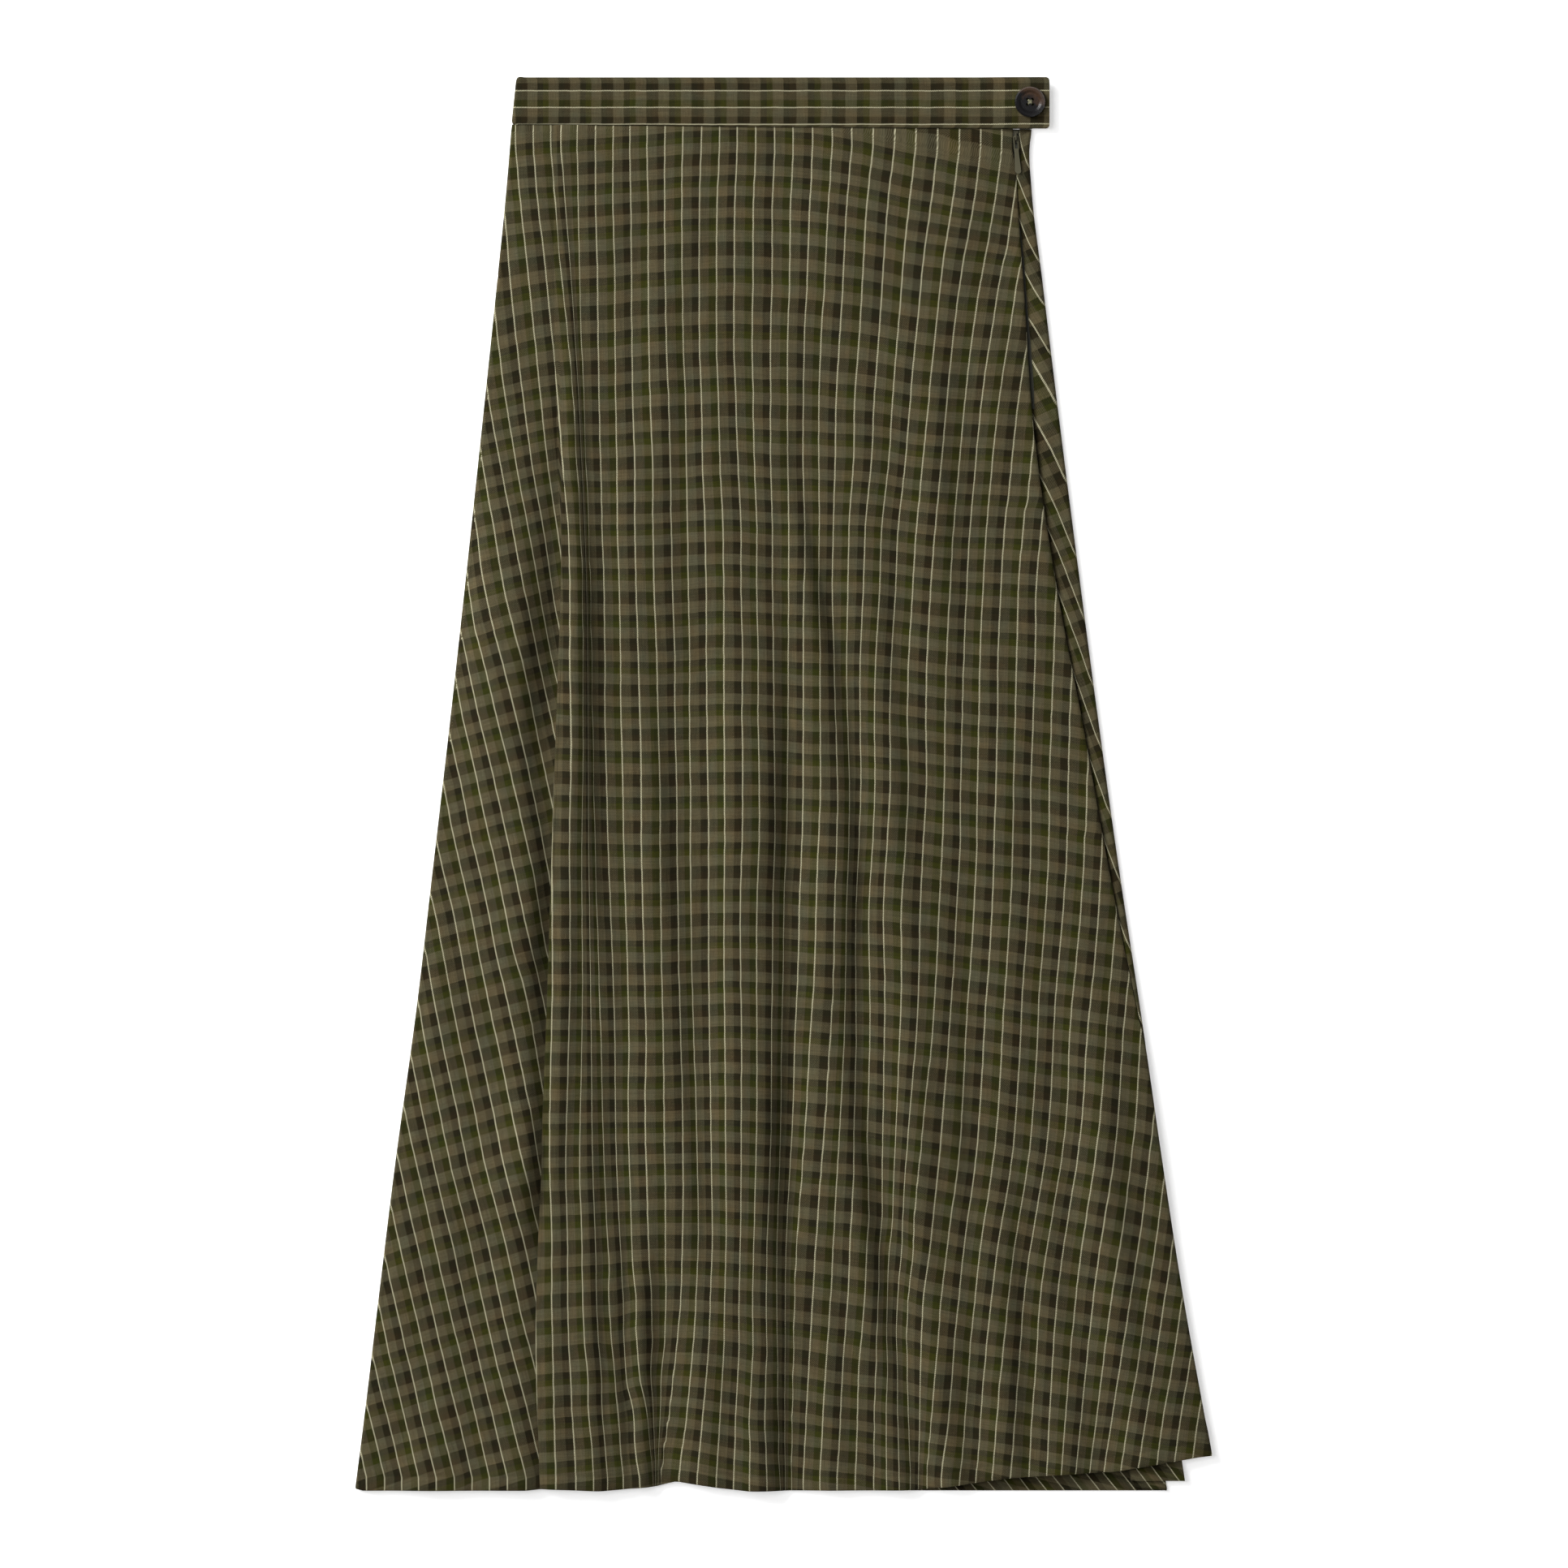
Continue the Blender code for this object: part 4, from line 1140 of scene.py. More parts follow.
@dataclass
class Panel:
    """One of the two cloth panels, as a thin shell with its creases and its hem."""

    side: Side
    flat_size: tuple[float, float]
    flat_area: float
    slot: Slot = Slot.CHECK
    wall: float = 1.3
    hem_wall: float = 1.9
    hem_depth: float = 16.0
    hem_thinning: float = 5.0
    seam_gap: float = 0.16
    slider_opening: float = 3.8
    slider_opening_end: float = 42.0
    slider_opening_fade: float = 12.0
    turning_span: float = 4.0
    turning_gap: float = 0.3
    band_gap: float = 0.1
    band_ditch: float = 0.7
    band_ditch_width: float = 2.2
    edge_span: float = 120.0
    end_share: float = 0.55
    side_share: float = 0.6
    top_side: float = 2.6
    corner_lift: float = 5.8
    corner_columns: tuple = (15, 40)
    under_lift: float = 0.3
    under_fade: float = 60.0
    rows: int = 212
    hem_rows: int = 15
    front_columns: tuple = (56, 26, 132, 14)
    back_columns: tuple = (56, 40)
    seam_strip: float = 14.0
    least_strip: float = 8.0
    stitch_height: float = 8.4
    stitch_depth: float = 0.42
    stitch_half_width: float = 1.1
    grain: Grain = field(default_factory=Grain)
    relief: Relief = field(default_factory=Relief)

    def half_gap(self, lay: Lay) -> float:
        """Works out the gap along the right seam, which opens at its top round the slider.

        Args:
            lay: The folds and edges at the drop.

        Returns:
            Half the gap.
        """
        opened = 1 - ease((lay.drop - self.slider_opening_end) / self.slider_opening_fade)
        turning = math.exp(-((lay.over / self.turning_span) ** 2)) * self.turning_gap
        return (self.seam_gap + opened * (self.slider_opening - self.seam_gap) + turning) / 2

    def places(self, section: Section) -> np.ndarray:
        """Places the panel's columns.

        Args:
            section: The section that they cross.

        Returns:
            A distance along the section for each column.
        """
        ends = section.ends
        gap = self.half_gap(section.lay)
        if self.side is Side.FRONT:
            seam = section.seam - gap
            last = min(ends["top right"] - self.seam_strip, seam - self.least_strip)
            stops = [self.seam_gap / 2, ends["top left"], ends["deep fold"], last, seam]
            counts = self.front_columns
            even = (False, False, True, False)
        else:
            seam = section.seam + gap
            stops = [seam, ends["tuck"], ends["floor"] - self.seam_gap / 2]
            counts = self.back_columns
            even = (False, True)
        parts = [
            section.places(start, end, count, is_even)
            for start, end, count, is_even in zip(stops, stops[1:], counts, even)
        ]
        return np.concatenate([parts[0]] + [part[1:] for part in parts[1:]])

    def line(self, drop: float) -> np.ndarray:
        """Works out the columns at one drop.

        Args:
            drop: The drop.

        Returns:
            Place across, height, stripe number and band number of each column.
        """
        section = Lay(drop).section()
        creased = section.z + self.relief.lifts(section, section.along)
        steps = np.hypot(np.diff(section.x), np.diff(creased))
        section.cloth = np.append(0.0, np.cumsum(steps))
        along = self.places(section)
        x = np.interp(along, section.along, section.x)
        z = np.interp(along, section.along, section.z) + self.relief.lifts(section, along)
        numbered = self.grain.on_front if self.side is Side.FRONT else self.grain.on_back
        stripes, bands = numbered(section, along)
        return np.stack([x, z, stripes, bands], axis=1)

    def hem_lift(self, x: np.ndarray) -> np.ndarray:
        """Works out how far each column is lifted at the hem.

        Args:
            x: The columns' places across.

        Returns:
            A lift up the skirt for each column.
        """
        across = [point.across for point in FRONT_HEM]
        front = np.interp(x, across, [point.lift for point in FRONT_HEM])
        if self.side is Side.FRONT:
            return front
        corner = np.interp(np.arange(len(x)), self.corner_columns, (1.0, 0.0))
        under = (front + self.under_lift) * ease((self.under_fade - x) / self.under_fade)
        return self.corner_lift * ease(corner) + under

    def half_walls(self, from_hem: np.ndarray, on_top: np.ndarray) -> np.ndarray:
        """Works out half the wall, thicker at the turned-up hem and thin at the edges.

        Args:
            from_hem: Each point's distance from the hem.
            on_top: Which points are on the upper side.

        Returns:
            Half the thickness at each point.
        """
        hem = 1 - ease((from_hem - self.hem_depth) / self.hem_thinning)
        half = self.wall / 2 + (self.hem_wall - self.wall) / 2 * hem * on_top
        half[[0, -1]] *= self.end_share
        half[:, [0, -1]] *= self.side_share
        return half

    def build(self) -> bpy.types.Object:
        """Makes the panel's mesh.

        Returns:
            The object.
        """
        top = Waistband.left_height
        hem = LENGTH - self.hem_depth
        upper = np.linspace(top, hem, self.rows - self.hem_rows + 1)
        drops = np.append(upper[:-1], np.linspace(hem, LENGTH, self.hem_rows))
        lines = np.array([self.line(drop) for drop in drops])
        down = drops[:, None]
        starts = Waistband.height_at(lines[0, :, 0]) + self.band_gap
        lift = self.hem_lift(lines[-1, :, 0])
        wanted = down + (starts - top) * (1 - ease((down - top) / self.edge_span))
        wanted = wanted - lift * ease((down - LENGTH + self.edge_span) / self.edge_span)
        moved = np.empty_like(lines)
        for column in range(lines.shape[1]):
            for channel in range(lines.shape[2]):
                values = lines[:, column, channel]
                moved[:, column, channel] = np.interp(wanted[:, column], drops, values)
        grid = np.stack([moved[..., 0], GROUND_TOP - wanted, moved[..., 1]], axis=-1)
        on_top = grid[..., 2] > self.top_side
        from_hem = LENGTH - lift - wanted
        from_stitch = (from_hem - self.stitch_height) / self.stitch_half_width
        ditch = self.band_ditch * np.exp(-(((wanted - starts) / self.band_ditch_width) ** 2))
        ditch = ditch + self.stitch_depth * np.exp(-(from_stitch**2))
        half = self.half_walls(from_hem, on_top)
        grid[..., 2] = np.maximum(grid[..., 2] - ditch * on_top, half)
        return Mesh.wall(f"{self.side.value}_shell", grid, half, moved[..., 2:])

    def place(self, material: bpy.types.Material, rests_on: list[str]) -> bpy.types.Object:
        """Args:
            material: Its cloth.
            rests_on: Names of what it lies on; not used.

        Returns:
            The object.
        """
        obj = ride(self.build(), material)
        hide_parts(f"{self.side.value}_panel")
        return obj


@dataclass
class Waistband:
    """The interlined waistband, with its tab, as one rounded strip round the waist."""

    slot: Slot = Slot.BAND
    wall: float = 2.0
    front_lay: float = 3.4
    left_top: float = -158.4
    left_bottom: float = -161.3
    left_height: float = 27.8
    right_height: float = 30.7
    mean_height: float = 29.0
    right: float = 147.4
    back_end: float = 140.5
    tab_end: float = 157.0
    tab_step: float = 2.5
    ramp: tuple = (117.0, 135.5)
    corner: float = 2.2
    corner_height: float = 30.0
    corner_span: float = 9.0
    crown: float = 0.12
    top_side: float = 3.3
    edge_round: float = 1.2
    edge_share: float = 0.4
    ripple: Wave = Wave(0.22, (16.0, 14.0), 3)
    ripple_shift: float = 7.0
    edge_wave: Wave = Wave(0.18, (26.0, 30.0), 8)
    edge_wave_drop: float = 31.0
    stripe_offset: float = 8.0
    stripe_pitch: float = 9.9
    column_pitch: float = 12.8
    shares: tuple = (0, 0.012, 0.03, 0.07, 0.15, 0.3, 0.5, 0.7, 0.85, 0.93, 0.97, 0.99, 1)
    bend_points: int = 13
    end_points: int = 4
    under_points: int = 30
    front_points: int = 150
    flat_size: tuple = (0.625, 0.0307)
    flat_area: float = 0.0182

    @classmethod
    def height_at(cls, x: np.ndarray) -> np.ndarray:
        """The waistband's height at places across it."""
        share = np.clip((x - cls.left_bottom) / (cls.tab_end - cls.left_bottom), 0.0, 1.0)
        return cls.left_height + share * (cls.right_height - cls.left_height)

    def line(self, share: float) -> tuple[np.ndarray, np.ndarray, np.ndarray]:
        """Works out the middle line of one row.

        Args:
            share: How far down the band the row is, from 0 to 1.

        Returns:
            Places across, heights and distances along the cloth.
        """
        half = self.wall / 2
        bend = (self.front_lay - half) / 2
        left = self.left_top + share * (self.left_bottom - self.left_top) + half + bend
        right = self.right - half - bend
        turn = np.linspace(0.0, math.pi, self.bend_points)
        short = max(self.corner - min(share, 1 - share) * self.corner_height, 0.0)
        pulled = self.corner - math.sqrt(max(self.corner**2 - short**2, 0.0))
        end = np.linspace(self.back_end, right, self.end_points)[:-1]
        under = np.linspace(right, left, self.under_points)[1:-1]
        front = np.linspace(left, self.tab_end - pulled, self.front_points)[1:]
        slope = ease((front - self.ramp[0]) / (self.ramp[1] - self.ramp[0]))
        stretches = (
            (end, np.full(len(end), self.front_lay)),
            (right + bend * np.sin(turn), half + bend * (1 + np.cos(turn))),
            (under, np.full(len(under), half)),
            (left - bend * np.sin(turn), half + bend * (1 - np.cos(turn))),
            (front, self.front_lay + slope * self.tab_step),
        )
        x = np.concatenate([stretch[0] for stretch in stretches])
        z = np.concatenate([stretch[1] for stretch in stretches])
        along = np.append(0.0, np.cumsum(np.hypot(np.diff(x), np.diff(z))))
        x = x + pulled * (1 - ease((x - left + bend) / self.corner_span))
        return x, z, along - along[-1]

    def columns(self, along: np.ndarray) -> np.ndarray:
        """Numbers the check's columns.

        Args:
            along: Distances along the band from the end of its tab.

        Returns:
            A column number for each distance.
        """
        across = self.tab_end + along
        places = [column.across for column in BAND_COLUMNS]
        numbers = np.interp(across, places, [column.number for column in BAND_COLUMNS])
        return 1.0 + numbers + np.minimum(across - places[0], 0.0) / self.column_pitch

    def build(self) -> bpy.types.Object:
        """Makes the waistband's mesh.

        Returns:
            The object.
        """
        rows = []
        halves = []
        coordinates = []
        for share in self.shares:
            x, z, along = self.line(share)
            drop = share * self.height_at(x)
            from_edge = min(share, 1 - share) * self.mean_height
            rounded = math.sqrt(1 - (1 - min(from_edge / self.edge_round, 1.0)) ** 2)
            thickness = self.wall * (self.edge_share + (1 - self.edge_share) * rounded)
            on_top = np.where(z > self.top_side, math.sin(math.pi * share), 0.0)
            z = z + (self.crown + self.ripple.at(x, drop.mean() + self.ripple_shift)) * on_top
            lowered = drop - self.edge_wave.at(x, self.edge_wave_drop) * share**4
            rows.append(np.stack([x, GROUND_TOP - lowered, z], axis=1))
            halves.append(np.full(len(x), thickness / 2))
            stripes = (drop - self.stripe_offset) / self.stripe_pitch
            coordinates.append(np.stack([stripes, self.columns(along)], axis=1))
        grid = np.array(rows)
        return Mesh.wall("waistband_shell", grid, np.array(halves), np.array(coordinates))

    def place(self, material: bpy.types.Material) -> bpy.types.Object:
        """Args:
            material: Its cloth.

        Returns:
            The object.
        """
        obj = ride(self.build(), material)
        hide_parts("waistband")
        return obj


Socket = bpy.types.NodeSocket
Value = Socket | float | tuple


def set_inputs(node: bpy.types.Node, values: dict[str, float | tuple]) -> None:
    """Sets a node's own input values, by their names."""
    for name, value in values.items():
        node.inputs[name].default_value = value


class Graph:
    """Adds and links shader nodes in a node tree."""

    def __init__(self, tree: bpy.types.NodeTree) -> None:
        """Keeps the tree."""
        self.tree = tree

    def node(self, kind: str, **settings: object) -> bpy.types.Node:
        """Adds a node.

        Args:
            kind: The node's type.
            settings: Properties to set on it.

        Returns:
            The node.
        """
        node = self.tree.nodes.new(kind)
        for name, value in settings.items():
            setattr(node, name, value)
        return node

    def put(self, value: Value, socket: Socket) -> None:
        """Links an output to an input, or sets the input's own value.

        Args:
            value: The output, or the value.
            socket: The input.
        """
        if isinstance(value, Socket):
            self.tree.links.new(value, socket)
        else:
            socket.default_value = value

    def feed(self, node: bpy.types.Node, values: tuple) -> None:
        """Puts values into a node's first inputs, in order."""
        for value, socket in zip(values, node.inputs):
            self.put(value, socket)

    def math(self, operation: str, first: Value, second: Value = 0.0) -> Socket:
        """Adds a Math node.

        Args:
            operation: What it does.
            first: Its first value.
            second: Its second value.

        Returns:
            The result.
        """
        node = self.node("ShaderNodeMath", operation=operation)
        self.feed(node, (first, second))
        return node.outputs[0]

    def plus(self, first: Value, second: Value) -> Socket:
        """Adds two values."""
        return self.math("ADD", first, second)

    def times(self, first: Value, second: Value) -> Socket:
        """Multiplies two values."""
        return self.math("MULTIPLY", first, second)

    def mix(self, share: Value, first: Value, second: Value) -> Socket:
        """Mixes two colours.

        Args:
            share: How much of the second one.
            first: The first colour.
            second: The second colour.

        Returns:
            The mixed colour.
        """
        node = self.node("ShaderNodeMix", data_type="RGBA")
        self.put(share, node.inputs["Factor"])
        self.put(first, node.inputs[6])
        self.put(second, node.inputs[7])
        return node.outputs[2]

    def noise(self, vector: Socket, scale: float, detail: float = 2.0) -> Socket:
        """Adds a noise over a vector.

        Args:
            vector: Where it is read.
            scale: How fine it is.
            detail: How many finer layers it has.

        Returns:
            Its values.
        """
        node = self.node("ShaderNodeTexNoise")
        self.put(vector, node.inputs["Vector"])
        set_inputs(node, {"Scale": scale, "Detail": detail})
        return node.outputs["Fac"]

    def span(self, value: Socket, low: float, high: float, to_low: float, to_high: float) -> Socket:
        """Maps a value from one span to another.

        Args:
            value: The value.
            low: Start of its span.
            high: End of its span.
            to_low: Start of the new span.
            to_high: End of the new span.

        Returns:
            The mapped value.
        """
        node = self.node("ShaderNodeMapRange")
        self.put(value, node.inputs["Value"])
        set_inputs(node, {"From Min": low, "From Max": high, "To Min": to_low, "To Max": to_high})
        return node.outputs["Result"]

    def ramp(self, value: Socket, yarns: tuple) -> Socket:
        """Adds a colour ramp.

        Args:
            value: Where it is read.
            yarns: Each colour, and where it starts and ends.

        Returns:
            Its colour.
        """
        node = self.node("ShaderNodeValToRGB")
        self.put(value, node.inputs["Fac"])
        elements = node.color_ramp.elements
        while len(elements) > 1:
            elements.remove(elements[-1])
        first = elements[0]
        first.position = 0.0
        first.color = (*yarns[0][0], 1.0)
        for colour, start, end in yarns:
            for place in (start, end):
                if place > 0.0:
                    elements.new(place).color = (*colour, 1.0)
        return node.outputs["Color"]

    def vector(self, x: Value, y: Value) -> Socket:
        """Combines two values into a vector.

        Args:
            x: Its first value.
            y: Its second value.

        Returns:
            The vector.
        """
        node = self.node("ShaderNodeCombineXYZ")
        self.feed(node, (x, y))
        return node.outputs[0]

    def split(self, vector: Socket) -> tuple[Socket, Socket]:
        """Splits a vector.

        Args:
            vector: The vector.

        Returns:
            Its first two values.
        """
        node = self.node("ShaderNodeSeparateXYZ")
        self.put(vector, node.inputs[0])
        return node.outputs[0], node.outputs[1]

    def combine(self, operation: str, first: Value, second: Value) -> Socket:
        """Adds a Vector Math node of two vectors.

        Args:
            operation: What it does.
            first: The first vector.
            second: The second vector.

        Returns:
            The result.
        """
        node = self.node("ShaderNodeVectorMath", operation=operation)
        self.feed(node, (first, second))
        return node.outputs[0]

    def scaled(self, vector: Socket, scale: Socket) -> Socket:
        """Scales a vector.

        Args:
            vector: The vector.
            scale: How many times.

        Returns:
            The scaled vector.
        """
        node = self.node("ShaderNodeVectorMath", operation="SCALE")
        self.put(vector, node.inputs[0])
        self.put(scale, node.inputs["Scale"])
        return node.outputs[0]

    def bump(self, height: Socket, strength: float, depth: float, shader: bpy.types.Node) -> None:
        """Roughens a shader's normal.

        Args:
            height: The height that it follows.
            strength: How strongly it does.
            depth: How deep it goes, in millimetres.
            shader: The shader.
        """
        node = self.node("ShaderNodeBump")
        set_inputs(node, {"Strength": strength, "Distance": depth * MM})
        self.put(height, node.inputs["Height"])
        self.put(node.outputs["Normal"], shader.inputs["Normal"])

    def dress(self, shader: bpy.types.Node, finish: bpy.types.Node, bump: tuple) -> None:
        """Links a finish's colour, roughness and height to a shader.

        Args:
            shader: The shader.
            finish: The node group with the finish.
            bump: How strongly and how deeply its height shows.
        """
        self.put(finish.outputs["Colour"], shader.inputs["Base Color"])
        self.put(finish.outputs["Roughness"], shader.inputs["Roughness"])
        self.bump(finish.outputs["Height"], *bump, shader)

    def use(self, tree: bpy.types.NodeTree, values: dict[str, Value]) -> bpy.types.Node:
        """Adds a node group.

        Args:
            tree: The group.
            values: What goes into its inputs, by their names.

        Returns:
            The group's node.
        """
        node = self.node("ShaderNodeGroup", node_tree=tree)
        for name, value in values.items():
            self.put(value, node.inputs[name])
        return node


class Group:
    """A shader node group with named sockets, and the graph of its nodes."""

    KINDS = {"vector": "NodeSocketVector", "colour": "NodeSocketColor", "value": "NodeSocketFloat"}

    def __init__(self, name: str, inputs: dict[str, str], outputs: dict[str, str]) -> None:
        """Makes the group.

        Args:
            name: Its name.
            inputs: The kind of each input socket, by its name.
            outputs: The kind of each output socket, by its name.
        """
        self.tree = bpy.data.node_groups.new(name, "ShaderNodeTree")
        for direction, sockets in (("INPUT", inputs), ("OUTPUT", outputs)):
            for socket, kind in sockets.items():
                self.tree.interface.new_socket(
                    socket, in_out=direction, socket_type=self.KINDS[kind]
                )
        self.graph = Graph(self.tree)
        self.inputs = self.graph.node("NodeGroupInput").outputs
        self.outputs = self.graph.node("NodeGroupOutput").inputs

    def give(self, values: dict[str, Socket]) -> None:
        """Links results to the group's outputs, by their names."""
        for name, value in values.items():
            self.graph.put(value, self.outputs[name])


@dataclass(frozen=True)
class CheckTwill:
    """The checked wool twill: its yarn colours and the sizes of its weave."""

    taupe: tuple = (0.0670, 0.0568, 0.0292)
    olive: tuple = (0.0265, 0.0275, 0.0026)
    brown: tuple = (0.0160, 0.0118, 0.0040)
    charcoal: tuple = (0.0080, 0.0082, 0.0028)
    weft_taupe: tuple = (0.0670, 0.0570, 0.0305)
    weft_olive: tuple = (0.0200, 0.0213, 0.0018)
    weft_brown: tuple = (0.0133, 0.0098, 0.0032)
    cream: tuple = (0.42, 0.395, 0.262)
    warm: tuple = (1.09, 0.98, 0.90, 1.0)
    cool: tuple = (0.93, 1.02, 1.08, 1.0)
    stripe_pitch: float = 10.5
    band_pitch: float = 14.0
    band_offset: float = 0.25
    stretched: float = 0.3
    stripe_wander: tuple = (0.0, 1.0, -0.035, 0.035)
    stripe_wander_scale: float = 0.09
    band_wander: tuple = (0.0, 1.0, -0.03, 0.03)
    band_wander_scale: float = 0.13
    twill_period: float = 1.05
    twill_jitter: tuple = (0.3, 0.7, -0.12, 0.12)
    jitter_scale: float = 1.6
    weft_share: float = 0.555
    twill_swing: float = 0.36
    hue_scale: float = 0.9
    hue_share: tuple = (0.3, 0.7, 0.0, 1.0)
    speck_length: float = 0.45
    speck_scale: float = 2.4
    speck_shade: tuple = (0.25, 0.75, 0.80, 1.20)
    worn_scale: float = 0.035
    worn_shade: tuple = (0.3, 0.7, 0.94, 1.06)
    yarn_shade: tuple = (0.3, 0.7, 0.86, 1.14)
    yarn_length: float = 20.0
    yarn_scale: float = 0.06
    cream_half_width: float = 0.047
    cream_core: float = 0.45
    cream_ticks: tuple = (-0.8, 0.4, 1.0, 0.28)
    rib_height: float = 0.5
    fuzz_height: float = 0.9
    cream_height: float = 0.5
    roughness: float = 0.95
    specular: float = 0.12
    sheen: float = 0.03
    sheen_roughness: float = 0.45
    sheen_tint: tuple = (0.85, 0.8, 0.6, 1.0)
    bump: tuple = (0.55, 0.12)

    def warp(self) -> tuple:
        """Yarns of the warp over two stripes: each colour, and where it starts and ends."""
        return (
            (self.taupe, 0.0, 0.265),
            (self.olive, 0.29, 0.475),
            (self.taupe, 0.497, 0.765),
            (self.brown, 0.79, 0.975),
            (self.taupe, 0.997, 1.0),
        )

    def weft(self) -> tuple:
        """Yarns of the weft over two bands: each colour, and where it starts and ends."""
        return (
            (self.charcoal, 0.0, 0.125),
            (self.weft_olive, 0.145, 0.255),
            (self.weft_taupe, 0.27, 0.49),
            (self.charcoal, 0.505, 0.62),
            (self.weft_brown, 0.64, 0.76),
            (self.weft_taupe, 0.775, 1.0),
        )

    def yarns(self, graph: Graph, stripe: Socket, band: Socket, wave: Socket) -> Socket:
        """Crosses the warp and the weft.

        Args:
            graph: Where the nodes go.
            stripe: Stripe numbers.
            band: Band numbers.
            wave: The twill's wave.

        Returns:
            The ground's colour.
        """
        warp = graph.ramp(graph.math("FRACT", graph.times(stripe, 0.5)), self.warp())
        pair = graph.times(graph.plus(band, self.band_offset), 0.5)
        weft = graph.ramp(graph.math("FRACT", pair), self.weft())
        low = self.weft_share - self.twill_swing
        high = self.weft_share + self.twill_swing
        return graph.mix(graph.span(wave, -1.0, 1.0, low, high), warp, weft)

    def shade(self, graph: Graph, across: Socket, down: Socket, speck: Socket) -> Socket:
        """Works out how much lighter or darker the yarns are from place to place.

        Args:
            graph: Where the nodes go.
            across: Millimetres across the cloth.
            down: Millimetres down it.
            speck: The fuzz's specks.

        Returns:
            The shade.
        """
        worn = graph.noise(graph.vector(across, down), self.worn_scale, 3.0)
        shade = graph.times(
            graph.span(speck, *self.speck_shade), graph.span(worn, *self.worn_shade)
        )
        ends = graph.vector(graph.times(across, self.yarn_length), down)
        picks = graph.vector(across, graph.times(down, self.yarn_length))
        for place in (ends, picks):
            yarn = graph.noise(place, self.yarn_scale, 3.0)
            shade = graph.times(shade, graph.span(yarn, *self.yarn_shade))
        return shade

    def group(self) -> bpy.types.NodeTree:
        """The shader node group of the check, built once.

        Returns:
            The group, whose sockets are Cloth, Colour and Height.
        """
        name = "Check twill"
        if name in bpy.data.node_groups:
            return bpy.data.node_groups[name]
        group = Group(name, {"Cloth": "vector"}, {"Colour": "colour", "Height": "value"})
        graph = group.graph
        cloth = group.inputs["Cloth"]
        stripe, band = graph.split(cloth)
        across = graph.times(stripe, self.stripe_pitch)
        down = graph.times(band, self.band_pitch)
        long_down = graph.vector(graph.times(across, self.stretched), down)
        wander = graph.noise(long_down, self.stripe_wander_scale)
        stripe = graph.plus(stripe, graph.span(wander, *self.stripe_wander))
        long_across = graph.vector(across, graph.times(down, self.stretched))
        wander = graph.noise(long_across, self.band_wander_scale)
        band = graph.plus(band, graph.span(wander, *self.band_wander))

        jitter = graph.noise(graph.vector(across, down), self.jitter_scale, 1.0)
        diagonal = graph.math("DIVIDE", graph.plus(across, down), self.twill_period)
        diagonal = graph.plus(diagonal, graph.span(jitter, *self.twill_jitter))
        wave = graph.math("SINE", graph.times(diagonal, 2 * math.pi))
        ground = self.yarns(graph, stripe, band, wave)

        long_specks = graph.vector(across, graph.times(down, self.speck_length))
        speck = graph.noise(long_specks, self.speck_scale, 3.0)
        hue = graph.span(graph.noise(cloth, self.hue_scale), *self.hue_share)
        tint = graph.combine("MULTIPLY", ground, graph.mix(hue, self.warm, self.cool))
        tone = graph.scaled(tint, self.shade(graph, across, down, speck))

        near = graph.math("FRACT", graph.plus(stripe, 0.5))
        near = graph.math("ABSOLUTE", graph.math("SUBTRACT", near, 0.5))
        core = self.cream_half_width * self.cream_core
        line = graph.span(near, self.cream_half_width, core, 0.0, 1.0)
        mask = graph.times(line, graph.span(wave, *self.cream_ticks))
        colour = graph.mix(mask, tone, (*self.cream, 1.0))

        height = graph.plus(graph.times(wave, self.rib_height), graph.times(speck, self.fuzz_height))
        height = graph.plus(height, graph.times(mask, self.cream_height))
        group.give({"Colour": colour, "Height": height})
        return group.tree

    def material(self, name: str) -> bpy.types.Material:
        """The cloth's material.

        Args:
            name: The material's name.

        Returns:
            The material.
        """
        material, graph, shader = new_material(name)
        place = graph.node("ShaderNodeUVMap", uv_map="Cloth").outputs["UV"]
        check = graph.use(self.group(), {"Cloth": place})
        graph.put(check.outputs["Colour"], shader.inputs["Base Color"])
        set_inputs(
            shader,
            {
                "Roughness": self.roughness,
                "Specular IOR Level": self.specular,
                "Sheen Weight": self.sheen,
                "Sheen Roughness": self.sheen_roughness,
                "Sheen Tint": self.sheen_tint,
            },
        )
        graph.bump(check.outputs["Height"], *self.bump, shader)
        return material


FINISH_OUTPUTS = {"Colour": "colour", "Roughness": "value", "Height": "value"}


def new_material(name: str) -> tuple[bpy.types.Material, Graph, bpy.types.Node]:
    """Makes an empty Principled material.

    Args:
        name: The material's name.

    Returns:
        The material, the graph of its nodes and its Principled shader.
    """
    material = bpy.data.materials.new(name)
    material.use_nodes = True
    return material, Graph(material.node_tree), material.node_tree.nodes["Principled BSDF"]


